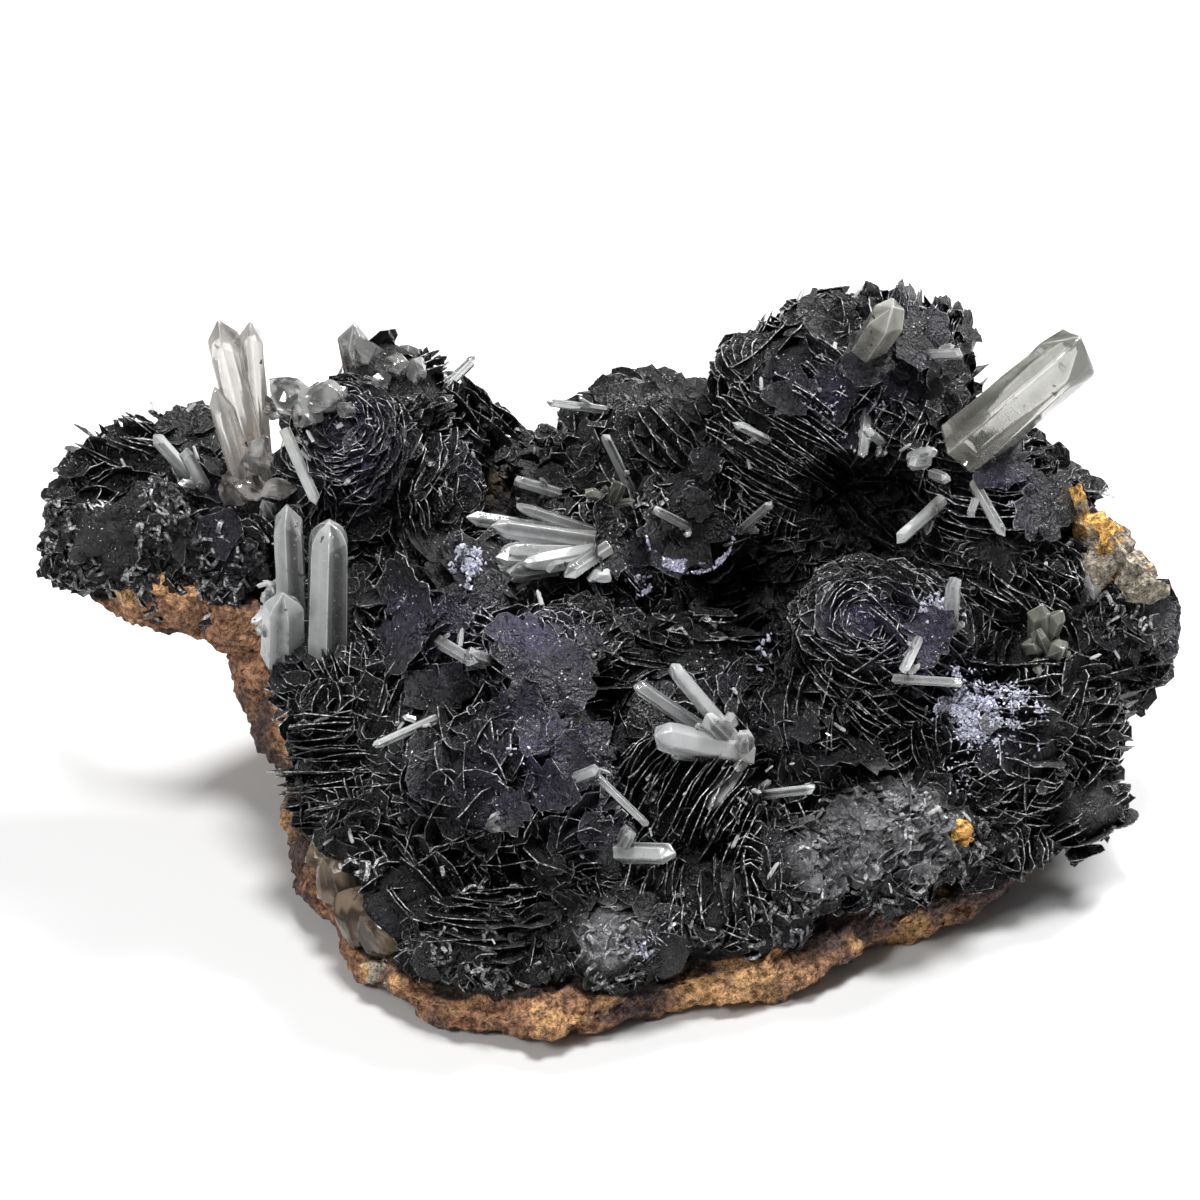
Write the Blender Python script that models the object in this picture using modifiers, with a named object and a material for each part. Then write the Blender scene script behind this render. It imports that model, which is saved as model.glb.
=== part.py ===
"""A hematite rose: intergrown rosettes of thin black iron plates on a piece of brown rock, with quartz points.

Metres, +Z up. The origin is the middle of the flat foot that the rock rests on. +X runs to the right
and +Y away from someone who looks at the specimen's front. Tables give millimetres.
"""

import math
import random

import bmesh
import bpy
from mathutils import Matrix, Vector, noise
from mathutils.bvhtree import BVHTree

MM = 0.001
GAP = 0.3 * MM  # kept between pieces that touch
FLAT = math.radians(2)  # faces that meet at less than this become one
FRONT_TILT = math.radians(30)  # the front is judged from this far above the horizon

ROCK_VOXEL = 2.2 * MM
ROCK_FACES = 760
ROCK_ROUGHNESS = 1.6 * MM
CRUST_VOXEL = 1.9 * MM
CRUST_FACES = 900
CRUST_ROUGHNESS = 1.1 * MM

PLATE_CORNERS = 6
PLATE_THICKNESS = 0.42  # share of the pitch between two plates
GROOVE_DEPTH = 0.3  # share of a plate's radius

# Lumps of the brown rock: centre, radii
ROCK_LUMPS = [
    ((-10, -22, 4), (27, 29, 8)),
    ((12, -18, 4), (30, 25, 8)),
    ((34, -8, 4), (27, 20, 9)),
    ((-22, -3, 6), (24, 28, 11)),
    ((12, 22, 9), (46, 28, 16)),
    ((-28, 26, 16), (22, 17, 15)),
    ((38, 36, 28), (20, 12, 18)),
    ((-26, 33, 33), (16, 10, 16)),
    ((-52, 25, 31), (25, 12, 7)),
    ((-43, 14, 20), (10, 10, 15)),
    ((66, 19, 36), (9, 8, 13)),
]

# Lumps of hematite that the rosettes grow on: centre, radii
CRUST_LUMPS = [
    ((-36, 17, 57), (10, 9, 9)),
    ((-30, 26, 61), (8, 8, 8)),
    ((-33, 22, 48), (15, 12, 12)),
    ((-69, 34, 43), (10, 10, 8)),
    ((-73, 26, 38), (9, 10, 8)),
    ((-58, 20, 38), (10, 9, 9)),
    ((-50, 24, 43), (10, 9, 8)),
    ((-60, 36, 44), (9, 9, 8)),
    ((-22, 31, 49), (9, 9, 9)),
    ((-12, 44, 33), (13, 11, 11)),
    ((-10, 34, 35), (11, 10, 10)),
    ((6, 42, 42), (14, 12, 13)),
    ((15, 42, 43), (10, 10, 11)),
    ((2, 22, 35), (12, 11, 11)),
    ((14, 24, 38), (10, 11, 12)),
    ((27, 29, 51), (11, 11, 12)),
    ((25, 36, 58), (8, 8, 8)),
    ((34, 37, 62), (9, 9, 9)),
    ((43, 35, 60), (12, 12, 12)),
    ((40, 28, 53), (11, 10, 11)),
    ((34, 26, 40), (13, 10, 12)),
    ((56, 22, 47), (12, 11, 10)),
    ((66, 20, 41), (8, 9, 9)),
    ((73, 12, 29), (9.5, 10, 12)),
    ((58, 13, 37), (13, 12, 11)),
    ((60, 5, 26), (12, 12, 12)),
    ((38, -4, 36), (13, 12, 12)),
    ((48, 8, 33), (12, 12, 10)),
    ((44, -8, 23), (12, 12, 10)),
    ((56, -10, 23), (10, 9, 10)),
    ((66, -8, 13), (9, 8, 6.5)),
    ((54, -14, 11), (9, 8, 5.5)),
    ((40, -23, 17), (11, 9, 9)),
    ((26, -28, 15), (9, 8, 8)),
    ((-14, -23, 25), (15, 12, 12)),
    ((-36, -11, 19), (8, 9, 9)),
    ((-31, -20, 15), (8, 9, 8)),
    ((-36, -2, 27), (10, 10, 9)),
    ((-38, 8, 34), (9, 10, 9)),
    ((-9, -8, 35), (10, 10, 9)),
    ((-20, 4, 36), (12, 12, 11)),
    ((-26, -30, 11), (9, 8, 7)),
    ((-15, -39, 11), (12, 8, 6.5)),
    ((3, -38, 12), (11, 8, 7.5)),
    ((14, -33, 14), (9, 8, 7)),
    ((12, -22, 23), (11, 10, 10)),
    ((12, 4, 28), (13, 13, 9)),
    ((27, -12, 27), (10, 10, 9)),
    ((26, 16, 26), (12, 12, 8)),
    ((-12, 18, 34), (10, 9, 9)),
    ((-3, 2, 31), (9, 9, 8)),
    ((8, -10, 26), (10, 9, 9)),
    ((23, 3, 26), (9, 9, 8)),
    ((-27, -7, 28), (9, 9, 9)),
    ((66, 0, 22), (9, 9, 10)),
    ((-2, -30, 18), (9, 8, 8)),
]

# Rosettes: centre, radius of the widest plate, how the plates face (right, up, towards the viewer),
# number of plates, pitch between plates
ROSETTES = {
    "face_rose": ((-36, 16, 59), 11.5, (0.1, 0.7, 0.7), 4, 3.6),
    "left_crest": ((-30, 27, 63), 8.5, (-0.3, 0.9, 0.2), 2, 3.6),
    "arm_top": ((-69, 36, 45), 10.5, (0.35, 0.9, 0.1), 3, 3.4),
    "arm_tip": ((-73, 27, 38), 9.5, (-0.5, 0.6, 0.6), 2, 4.0),
    "arm_root": ((-54, 24, 42), 9.0, (0.2, 0.8, 0.6), 2, 3.6),
    "left_valley": ((-21, 31, 52), 8.0, (0.7, 0.7, 0.1), 3, 3.2),
    "back_valley": ((-12, 47, 36), 10.0, (0.2, 0.9, 0.3), 2, 3.6),
    "mid_crest": ((8, 42, 47.5), 14.5, (-0.1, 0.9, 0.3), 3, 3.8),
    "mid_fan": ((2, 18, 40), 9.5, (0.8, 0.5, 0.3), 3, 3.4),
    "mid_bowl": ((15, 21, 44), 9.5, (-0.2, 0.5, 0.8), 2, 3.6),
    "upper_stack": ((28, 26, 54), 12.5, (0.5, 0.8, -0.1), 5, 3.2),
    "upper_crest": ((26, 35, 60), 9.0, (-0.6, 0.7, 0.3), 2, 3.6),
    "peak": ((43, 35, 64), 13.0, (0.5, 0.8, 0.4), 3, 3.8),
    "peak_back": ((44, 35, 61), 10.0, (-0.8, 0.5, 0.3), 2, 3.8),
    "peak_low": ((40, 25, 57), 9.0, (0.3, 0.4, 0.8), 2, 3.4),
    "right_bowl": ((56, 18, 49), 12.5, (0.1, 1.0, 0.1), 5, 3.2),
    "right_edge": ((66, 21, 45), 8.0, (1.0, 0.2, 0.3), 3, 3.2),
    "right_mass": ((72, 10, 29), 11.0, (0.6, 0.3, 0.6), 2, 4.2),
    "low_rose": ((36, -6, 41), 14.0, (-0.2, 0.3, 0.9), 3, 3.8),
    "low_rose_stack": ((40, -9, 36), 12.0, (0.7, 0.7, 0.0), 3, 3.6),
    "low_right": ((57, -9, 25), 11.0, (0.1, 1.0, 0.1), 4, 3.3),
    "right_fan": ((67, -9, 12), 10.0, (-0.5, 0.8, 0.2), 2, 3.4),
    "low_fan": ((55, -14, 11), 8.0, (0.4, 0.9, 0.1), 2, 3.4),
    "grey_face": ((40, -25, 19), 11.5, (0.1, 0.2, 1.0), 2, 3.2),
    "grey_left": ((27, -31, 16), 9.5, (-0.4, 0.1, 0.9), 3, 3.2),
    "box_flat": ((-13, -25, 28), 14.0, (0.1, 0.7, 0.7), 3, 4.0),
    "box_steep": ((-15, -24, 27), 14.0, (0.8, 0.3, 0.5), 2, 7.0),
    "left_stack": ((-38, -12, 20), 9.5, (-0.1, 1.0, 0.0), 4, 3.3),
    "left_top": ((-37, -3, 28), 9.5, (-0.5, 0.6, 0.6), 2, 3.6),
    "purple_leaf": ((-8, -9, 38), 10.0, (0.1, 0.6, 0.8), 2, 3.4),
    "purple_box": ((-4, -16, 34), 9.0, (0.8, 0.4, 0.4), 2, 3.4),
    "low_left_fan": ((-25, -30, 12), 8.5, (0.7, 0.7, 0.0), 3, 3.2),
    "front_foot": ((-14, -38, 11), 12.0, (0.0, 1.0, 0.2), 3, 3.0),
    "foot_leaf": ((3, -38, 15), 8.5, (-0.1, 0.2, 1.0), 2, 3.0),
    "spray_seat": ((13, -25, 27), 11.5, (0.8, -0.5, 0.2), 4, 3.3),
    "inner_shelf": ((12, 2, 31), 12.0, (0.2, 1.0, 0.2), 2, 3.6),
    "inner_right": ((27, -12, 30), 9.0, (0.9, 0.1, 0.4), 2, 3.6),
    "inner_left": ((-20, 9, 42), 11.0, (0.5, 0.6, 0.5), 3, 3.6),
    "front_low": ((14, -34, 16), 8.5, (1.0, 0.0, 0.2), 2, 3.4),
}

# Quartz: one node for each crystal or group grown together; each crystal is its root, tip and width
QUARTZ = {
    "quartz_spires": [
        ((-51.5, 22, 54), (-54, 22, 75), 5.1),
        ((-52.5, 19, 50), (-54.5, 20, 65.5), 3.8),
        ((-50.5, 24, 57), (-49.5, 24, 74), 3.5),
        ((-53, 19, 53.5), (-47.5, 16, 60), 3.1),
    ],
    "quartz_arm_left": [((-60, 25, 50), (-63.5, 20, 57.5), 1.9)],
    "quartz_arm_right": [((-57.5, 21, 50), (-59, 16.5, 57), 1.8)],
    "quartz_crest_block": [((-47, 22, 64), (-35.5, 17, 65), 5.4)],
    "quartz_crest_point": [((-34, 28, 62.5), (-35.5, 27, 72), 4.7)],
    "quartz_crest_chip": [((-28, 30, 64), (-27, 29, 67.5), 3.1)],
    "quartz_hanging_left": [((-43.5, 10, 61), (-39.5, 5, 54.5), 1.8)],
    "quartz_front_pair": [
        ((-43.5, 3, 40.5), (-43.5, 2, 56), 3.9),
        ((-39, -2, 34.5), (-37, -1, 55), 6.6),
        ((-45.5, 0, 33.5), (-44, -3, 45), 5.6),
    ],
    "quartz_skyline_left": [((-24.5, 38, 55), (-18, 38, 61), 1.6)],
    "quartz_skyline_mid": [((-1.5, 38, 52.5), (-8, 37, 54), 1.5)],
    "quartz_inner_stub": [((-7.5, 28, 45), (-12.5, 26, 47), 1.5)],
    "quartz_spray": [
        ((-3, 15, 44), (-19, 8, 51), 2.1),
        ((-5.5, 15, 46), (-12, 11, 51), 1.5),
        ((-1, 14, 43.5), (-15.5, 8, 49.5), 2.3),
        ((-5.5, 13, 41.5), (-14, 5, 47), 3.0),
        ((-1, 12, 44), (-11, 4, 45.5), 2.5),
    ],
    "quartz_violet_stub": [((-8, 10, 41), (-13.5, 5, 43), 1.8)],
    "quartz_crest_finger": [((3.5, 30, 45.5), (0.5, 28, 53.5), 1.5)],
    "quartz_yellow_cross": [
        ((1.5, 20, 47), (-2, 16, 50.5), 1.5),
        ((1, 20, 45.5), (3, 16, 52), 2.0),
    ],
    "quartz_bowl_stub": [((11.5, 15, 46), (7.5, 11, 50.5), 1.5)],
    "quartz_fan": [
        ((18, -22, 33), (9.5, -26, 47), 2.6),
        ((15.5, -22, 33), (4.5, -26, 44), 1.9),
        ((19, -22, 32), (7, -30, 38.5), 3.6),
        ((17, -22, 30), (9.5, -28, 34), 1.8),
        ((18, -22, 31.5), (14.5, -31, 27), 2.7),
    ],
    "quartz_thin_front": [((1, -27, 33), (6.5, -35, 27), 1.5)],
    "quartz_grey_front": [((1, -32, 21), (10, -40, 26), 2.7)],
    "quartz_small_front": [((-5, -29, 30), (0, -34, 35.5), 1.5)],
    "quartz_stub_front": [((26, -26, 27), (29, -31, 30.5), 1.5)],
    "quartz_thin_right": [((45.5, -17, 46), (41, -23, 44), 1.4)],
    "quartz_tooth_right": [((48.5, -8, 43.5), (48.5, -10, 51.5), 2.1)],
    "quartz_bar_right": [((44, -20, 41.5), (49, -25, 43.5), 1.6)],
    "quartz_green_pair": [
        ((62.5, 2, 32), (61.5, -1, 41.5), 2.5),
        ((64, 2, 31), (64, -1, 41), 2.0),
        ((61.5, 1, 29.5), (60, -4, 36), 2.8),
        ((64, 1, 29), (65.5, -4, 34.5), 2.8),
    ],
    "quartz_peak_point": [((37, 24, 67), (41, 14, 81), 4.0)],
    "quartz_large_right": [((51.5, 16, 57.5), (67, 10, 76), 6.6)],
    "quartz_peak_bar": [((47.5, 22, 69), (51, 19, 71), 1.5)],
    "quartz_right_short": [((38, 14, 63.5), (36.5, 8, 60.5), 1.4)],
    "quartz_right_long": [((41.5, 13, 60.5), (37, 6, 65.5), 1.8)],
    "quartz_hanging_mid": [((43.5, 11, 54), (41.5, 4, 49), 1.8)],
    "quartz_hanging_right": [((54, 9, 53), (56.5, 3, 50.5), 1.8)],
    "quartz_upper_chip": [((21, 16, 58.5), (19, 11, 64), 1.5)],
    "quartz_bowl_right": [((21.5, 12, 46.5), (24, 8, 53), 1.4)],
    "quartz_front_prism": [((-22.5, -12, 43), (-17, -18, 42.5), 1.8)],
    "quartz_front_twin": [((-26.5, -20, 33.5), (-31, -26, 34), 1.6)],
}
TIP_LENGTH = 0.6  # of a crystal's width
ROOT_DEPTH = 2.5 * MM  # how far a crystal's root reaches into the hematite
ROOT_SPREAD = 0.7  # how far apart the roots of a group stay, as a share of their distance in the table
REACH = 3 * MM  # how much longer a crystal may become to reach it

FINISHES = {
    "rock": ((0.19, 0.105, 0.06), 0.85, 0.0),
    "hematite": ((0.03, 0.03, 0.033), 0.42, 0.55),
    "quartz": ((0.80, 0.80, 0.77), 0.12, 0.0),
}


def leaning(right, up, towards):
    """The unit direction that points this far right, up and towards someone who looks at the front."""
    back, rise = math.cos(FRONT_TILT), math.sin(FRONT_TILT)
    return Vector((right, up * rise - towards * back, up * back + towards * rise)).normalized()


def finish(name):
    colour, roughness, metallic = FINISHES[name]
    material = bpy.data.materials.new(name)
    material.use_nodes = True
    shader = material.node_tree.nodes["Principled BSDF"]
    shader.inputs["Base Color"].default_value = (*colour, 1)
    shader.inputs["Roughness"].default_value = roughness
    shader.inputs["Metallic"].default_value = metallic
    material.diffuse_color = (*colour, 1)
    return material


def object_from(bm, name, collection):
    mesh = bpy.data.meshes.new(name)
    bm.to_mesh(mesh)
    bm.free()
    made = bpy.data.objects.new(name, mesh)
    collection.objects.link(made)
    return made


def settle(obj):
    """Gives obj the mesh that its modifiers make, and drops the modifiers."""
    bpy.context.view_layer.update()
    evaluated = obj.evaluated_get(bpy.context.evaluated_depsgraph_get())
    mesh = bpy.data.meshes.new_from_object(evaluated)
    obj.modifiers.clear()
    obj.data = mesh
    return obj


def skin_over(name, lumps, voxel, faces, roughness, collection):
    """One closed rough skin over a list of ellipsoids, thinned to about that many faces."""
    bm = bmesh.new()
    for centre, radii in lumps:
        place = Matrix.Translation(Vector(centre) * MM) @ Matrix.Diagonal((*(Vector(radii) * MM), 1))
        bmesh.ops.create_icosphere(bm, subdivisions=4, radius=1, matrix=place)
    skin = object_from(bm, name, collection)
    remesh = skin.modifiers.new("one_skin", "REMESH")
    remesh.mode = "VOXEL"
    remesh.voxel_size = voxel
    settle(skin)
    for vertex in skin.data.vertices:
        coarse = noise.noise(vertex.co / (9 * MM))
        fine = noise.noise(vertex.co / (4 * MM))
        vertex.co += vertex.normal * roughness * (coarse + 0.5 * fine)
    thin = skin.modifiers.new("thin", "DECIMATE")
    thin.ratio = faces / (2 * len(skin.data.polygons))
    return settle(skin)


def cut_flat(obj, height):
    """Cuts obj off flat at this height and closes the cut."""
    bm = bmesh.new()
    bm.from_mesh(obj.data)
    everything = bm.verts[:] + bm.edges[:] + bm.faces[:]
    cut = bmesh.ops.bisect_plane(
        bm, geom=everything, plane_co=(0, 0, height), plane_no=(0, 0, -1), clear_outer=True
    )
    rim = [part for part in cut["geom_cut"] if isinstance(part, bmesh.types.BMEdge)]
    bmesh.ops.contextual_create(bm, geom=rim)
    bmesh.ops.recalc_face_normals(bm, faces=bm.faces)
    bm.to_mesh(obj.data)
    bm.free()


def grown(obj, name, amount, collection):
    """A copy of obj whose surface stands out by this amount, to cut a socket with."""
    copy = bpy.data.objects.new(name, obj.data.copy())
    collection.objects.link(copy)
    copy.matrix_world = obj.matrix_world.copy()
    bm = bmesh.new()
    bm.from_mesh(copy.data)
    bm.normal_update()
    moves = [(vertex, vertex.normal * amount * vertex.calc_shell_factor()) for vertex in bm.verts]
    for vertex, move in moves:
        vertex.co += move
    bm.to_mesh(copy.data)
    bm.free()
    return copy


def combine(obj, others, operation):
    """Boolean of obj with each of the others in turn, applied."""
    for other in others:
        step = obj.modifiers.new(operation.lower(), "BOOLEAN")
        step.operation = operation
        step.object = other
        step.solver = "MANIFOLD"
    return settle(obj)


def keep_main_body(obj):
    """Deletes the chips and sealed pockets that the cuts leave, all but the largest body."""
    bm = bmesh.new()
    bm.from_mesh(obj.data)
    unseen = set(bm.faces)
    bodies = []
    while unseen:
        body = [unseen.pop()]
        for face in body:
            for edge in face.edges:
                for neighbour in edge.link_faces:
                    if neighbour in unseen:
                        unseen.remove(neighbour)
                        body.append(neighbour)
        bodies.append(body)
    bodies.sort(key=len)
    for body in bodies[:-1]:
        bmesh.ops.delete(bm, geom=body, context="FACES")
    bm.to_mesh(obj.data)
    bm.free()
    return obj


def tidied(obj):
    """Melts flat neighbours into one face."""
    bm = bmesh.new()
    bm.from_mesh(obj.data)
    bmesh.ops.dissolve_limit(bm, angle_limit=FLAT, verts=bm.verts[:], edges=bm.edges[:])
    bmesh.ops.triangulate(bm, faces=bm.faces[:])
    bm.to_mesh(obj.data)
    bm.free()


def plate_stack(name, centre, radius, facing, plates, pitch, collection):
    """A rosette: plates with ragged outlines on one core, drawn up from a polygon by repeated extrusion."""
    chance = random.Random(name)
    pitch, radius = pitch * MM, radius * MM
    half = plates * pitch / 2
    bm = bmesh.new()
    bmesh.ops.create_circle(bm, cap_ends=True, segments=PLATE_CORNERS, radius=1)
    bottom = list(bm.faces)[0]
    ragged = [chance.uniform(0.86, 1.08) for _ in range(PLATE_CORNERS)]

    def shape(face, height, size, turn):
        for index, vertex in enumerate(face.verts):
            angle = turn + 2 * math.pi * index / PLATE_CORNERS
            reach = size * ragged[index]
            vertex.co = (reach * math.cos(angle), reach * math.sin(angle), height)

    def drawn_up(face):
        made = bmesh.ops.extrude_discrete_faces(bm, faces=[face])
        return made["faces"][0]

    top = bottom
    for plate in range(plates):
        middle = (plate + 0.5) * pitch - half
        swell = math.sqrt(1 - (0.75 * middle / half) ** 2)
        size = radius * swell * chance.uniform(0.88, 1.05)
        turn = chance.uniform(-0.25, 0.25)
        low = middle - PLATE_THICKNESS * pitch / 2
        high = middle + PLATE_THICKNESS * pitch / 2
        if plate == 0:
            shape(top, low, size, turn)
        else:
            top = drawn_up(top)
            shape(top, low, size, turn)
        top = drawn_up(top)
        shape(top, high, size * 0.96, turn)
        if plate < plates - 1:
            groove = size * (1 - GROOVE_DEPTH)
            top = drawn_up(top)
            shape(top, high, groove, turn)
            top = drawn_up(top)
            shape(top, high + (1 - PLATE_THICKNESS) * pitch, groove, turn)
    bmesh.ops.holes_fill(bm, edges=bm.edges, sides=PLATE_CORNERS)
    bmesh.ops.recalc_face_normals(bm, faces=bm.faces)
    return placed(object_from(bm, name, collection), Vector(centre) * MM, leaning(*facing))


def placed(obj, place, upward):
    """Moves obj there and turns its own Z axis into the given direction, in its mesh."""
    turn = upward.to_track_quat("Z", "Y").to_matrix().to_4x4()
    obj.data.transform(Matrix.Translation(place) @ turn)
    return obj


def crystal(name, root, tip, width, margin, collection):
    """A six-sided quartz prism from its root to its pointed tip, larger all round by the margin."""
    axis = (tip - root).normalized()
    length = (tip - root).length + 2 * margin
    radius = width / 2 + margin / math.cos(math.pi / 6)
    point = min(TIP_LENGTH * width, 0.5 * length)
    bm = bmesh.new()
    bmesh.ops.create_circle(bm, cap_ends=True, segments=6, radius=radius)
    made = bmesh.ops.extrude_discrete_faces(bm, faces=bm.faces[:])
    for vertex in made["faces"][0].verts:
        vertex.co.z = length - point
    poked = bmesh.ops.poke(bm, faces=made["faces"])
    poked["verts"][0].co.z = length
    bmesh.ops.holes_fill(bm, edges=bm.edges, sides=6)
    bmesh.ops.recalc_face_normals(bm, faces=bm.faces)
    return placed(object_from(bm, name, collection), root - axis * margin, axis)


def surface_of(obj):
    """A search tree over obj's faces."""
    bm = bmesh.new()
    bm.from_mesh(obj.data)
    tree = BVHTree.FromBMesh(bm)
    bm.free()
    return tree


def rooted(root, tip, surface):
    """Where a crystal's root goes so that it stands ROOT_DEPTH deep in the surface behind it."""
    axis = (root - tip).normalized()
    hit, _, _, distance = surface.ray_cast(tip, axis)
    if hit is not None and distance < (root - tip).length + REACH:
        return hit + axis * ROOT_DEPTH
    nearest, _, _, _ = surface.find_nearest(root)
    return nearest + (nearest - tip).normalized() * ROOT_DEPTH


def build_rock(parts):
    rock = skin_over("limonite_matrix", ROCK_LUMPS, ROCK_VOXEL, ROCK_FACES, ROCK_ROUGHNESS, parts)
    cut_flat(rock, 0)
    rock.data.materials.append(finish("rock"))
    return rock


def build_hematite(rock, parts, cutters):
    roses = skin_over("hematite_roses", CRUST_LUMPS, CRUST_VOXEL, CRUST_FACES, CRUST_ROUGHNESS, parts)
    stacks = [plate_stack(name, *numbers, cutters) for name, numbers in ROSETTES.items()]
    combine(roses, stacks, "UNION")
    combine(roses, [grown(rock, "rock_seat", GAP, cutters)], "DIFFERENCE")
    return keep_main_body(roses)


def build_quartz(roses, rock, parts, cutters):
    """Plants every crystal in the hematite, and cuts its socket there and in the rock."""
    surface = surface_of(roses)
    glass = finish("quartz")
    sockets = []
    for name, crystals in QUARTZ.items():
        grown_together = []
        first_root, first_tip, _ = crystals[0]
        seat = rooted(Vector(first_root) * MM, Vector(first_tip) * MM, surface)
        for number, (root, tip, width) in enumerate(crystals):
            tip = Vector(tip) * MM
            root = seat + (Vector(root) - Vector(first_root)) * MM * ROOT_SPREAD
            home = parts if number == 0 else cutters
            label = name if number == 0 else f"{name}_{number}"
            grown_together.append(crystal(label, root, tip, width * MM, 0, home))
            sockets.append(crystal(f"socket_{name}_{number}", root, tip, width * MM, GAP, cutters))
        combine(grown_together[0], grown_together[1:], "UNION")
        grown_together[0].data.materials.append(glass)
    combine(roses, sockets, "DIFFERENCE")
    combine(rock, sockets, "DIFFERENCE")


def build():
    for obj in list(bpy.data.objects):
        bpy.data.objects.remove(obj)
    parts = bpy.data.collections.new("hematite_rose")
    cutters = bpy.data.collections.new("cutters")
    bpy.context.scene.collection.children.link(parts)
    bpy.context.scene.collection.children.link(cutters)

    rock = build_rock(parts)
    roses = build_hematite(rock, parts, cutters)
    build_quartz(roses, rock, parts, cutters)
    for solid in (roses, rock):
        keep_main_body(solid)
        tidied(solid)
    roses.data.materials.clear()
    roses.data.materials.append(finish("hematite"))
    for cutter in cutters.objects:
        cutter.hide_render = True
        cutter.display_type = "WIRE"


build()
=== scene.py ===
import math

import bmesh
import bpy
import numpy as np
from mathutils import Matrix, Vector


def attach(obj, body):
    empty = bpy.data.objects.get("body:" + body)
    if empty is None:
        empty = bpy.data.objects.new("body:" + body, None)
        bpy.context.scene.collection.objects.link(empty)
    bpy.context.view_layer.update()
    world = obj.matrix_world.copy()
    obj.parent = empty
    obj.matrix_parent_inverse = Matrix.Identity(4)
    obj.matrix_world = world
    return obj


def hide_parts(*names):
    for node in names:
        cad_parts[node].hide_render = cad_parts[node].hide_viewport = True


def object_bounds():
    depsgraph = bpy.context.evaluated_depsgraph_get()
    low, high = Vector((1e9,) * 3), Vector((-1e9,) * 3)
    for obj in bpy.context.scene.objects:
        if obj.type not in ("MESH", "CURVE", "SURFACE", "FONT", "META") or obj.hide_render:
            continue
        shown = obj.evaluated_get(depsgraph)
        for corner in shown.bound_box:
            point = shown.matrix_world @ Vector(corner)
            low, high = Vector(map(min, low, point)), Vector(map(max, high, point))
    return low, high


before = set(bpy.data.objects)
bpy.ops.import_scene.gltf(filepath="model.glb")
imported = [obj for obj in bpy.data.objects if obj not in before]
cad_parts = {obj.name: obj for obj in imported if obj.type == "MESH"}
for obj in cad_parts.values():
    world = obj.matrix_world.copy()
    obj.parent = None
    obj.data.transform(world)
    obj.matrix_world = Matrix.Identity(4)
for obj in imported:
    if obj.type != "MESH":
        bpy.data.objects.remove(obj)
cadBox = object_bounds()
mm = 0.001
viewTilt = math.radians(30)  # how far above the horizon the front is looked at
print("frame loaded")


# Numbers and directions

def column(rows, place):
    # one column of a table as an array
    return np.array([row[place] for row in rows], float)


def lumpsOf(rows):
    # the centres and radii of a table of round places, in metres
    return column(rows, 0) * mm, column(rows, 1) * mm


def unit(vectors):
    # every vector divided by its own length
    return vectors / np.linalg.norm(vectors, axis=-1, keepdims=True)


def facing(right, up, towards):
    # a direction given as the viewer in front sees it, turned into the model's own axes
    level, rise = math.cos(viewTilt), math.sin(viewTilt)
    return unit(np.array((right, up * rise - towards * level, up * level + towards * rise), float))


def facings(rows, place):
    # one column of directions, turned into the model's axes
    return np.array([facing(*row[place]) for row in rows])


def across(axis, loose):
    # the part of a loose vector at right angles to the axis: the vector less its share along the axis
    return unit(loose - axis * np.sum(loose * axis, axis=-1, keepdims=True))


def smoothStep(low, high, value):
    # 0 below low, 1 above high, and 3t^2 - 2t^3 between
    t = np.clip((value - low) / (high - low), 0, 1)
    return t * t * (3 - 2 * t)


def latticeDraw(at, seed):
    # a random number from -1 to 1 for every lattice place
    mixed = at[:, 0] * 73856093 ^ at[:, 1] * 19349663 ^ at[:, 2] * 83492791 ^ seed * 7919
    mixed = (mixed ^ mixed >> 13) * 1274126177
    return ((mixed ^ mixed >> 16) & 65535) / 32767.5 - 1


def latticeNoise(points, cell, seed):
    # random numbers on a cubic lattice, blended in each cell with the curve 3t^2 - 2t^3; from -1 to 1
    scaled = points / cell
    corner = np.floor(scaled).astype(np.int64)
    t = scaled - corner
    t = t * t * (3 - 2 * t)
    total = np.zeros(len(points))
    for step in np.ndindex(2, 2, 2):
        total += latticeDraw(corner + np.array(step), seed) * np.prod(np.where(step, t, 1 - t), axis=1)
    return total


def roughNoise(points, cell, octaves, seed):
    # octaves of lattice noise, each half as large and half as strong as the one before
    return sum(latticeNoise(points, cell / 2**k, seed + k) / 2**k for k in range(octaves))


def grainNoise(points, cell, seed):
    # angular grains: each point takes the random height of the nearest jittered lattice place, from -1 to 1
    scaled = points / cell
    corner = np.floor(scaled).astype(np.int64)
    least, height = np.full(len(points), 9.0), np.zeros(len(points))
    for step in np.ndindex(3, 3, 3):
        at = corner + np.array(step) - 1
        shift = np.stack([latticeDraw(at, seed + k) for k in range(3)], axis=1)
        gap = np.linalg.norm(scaled - at - 0.5 - 0.45 * shift, axis=1)
        height = np.where(gap < least, latticeDraw(at, seed + 3), height)
        least = np.minimum(least, gap)
    return height


def depthIn(points, centres, radii):
    # how deep in a heap of ellipsoids each point is: the least scaled distance, below 1 inside
    least = np.full(len(points), 9.0)
    for centre, size in zip(centres, radii):
        least = np.minimum(least, np.linalg.norm((points - centre) / size, axis=1))
    return least


def within(points, rows, border, ragged, seed):
    # 1 inside a table's round places, 0 outside: 1 - the smooth step of the depth between the border's two
    # depths, made ragged by noise
    depth = depthIn(points, *lumpsOf(rows))
    if ragged:
        depth = depth + ragged * roughNoise(points, 5 * mm, 2, seed)
    return 1 - smoothStep(*border, depth)


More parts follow.
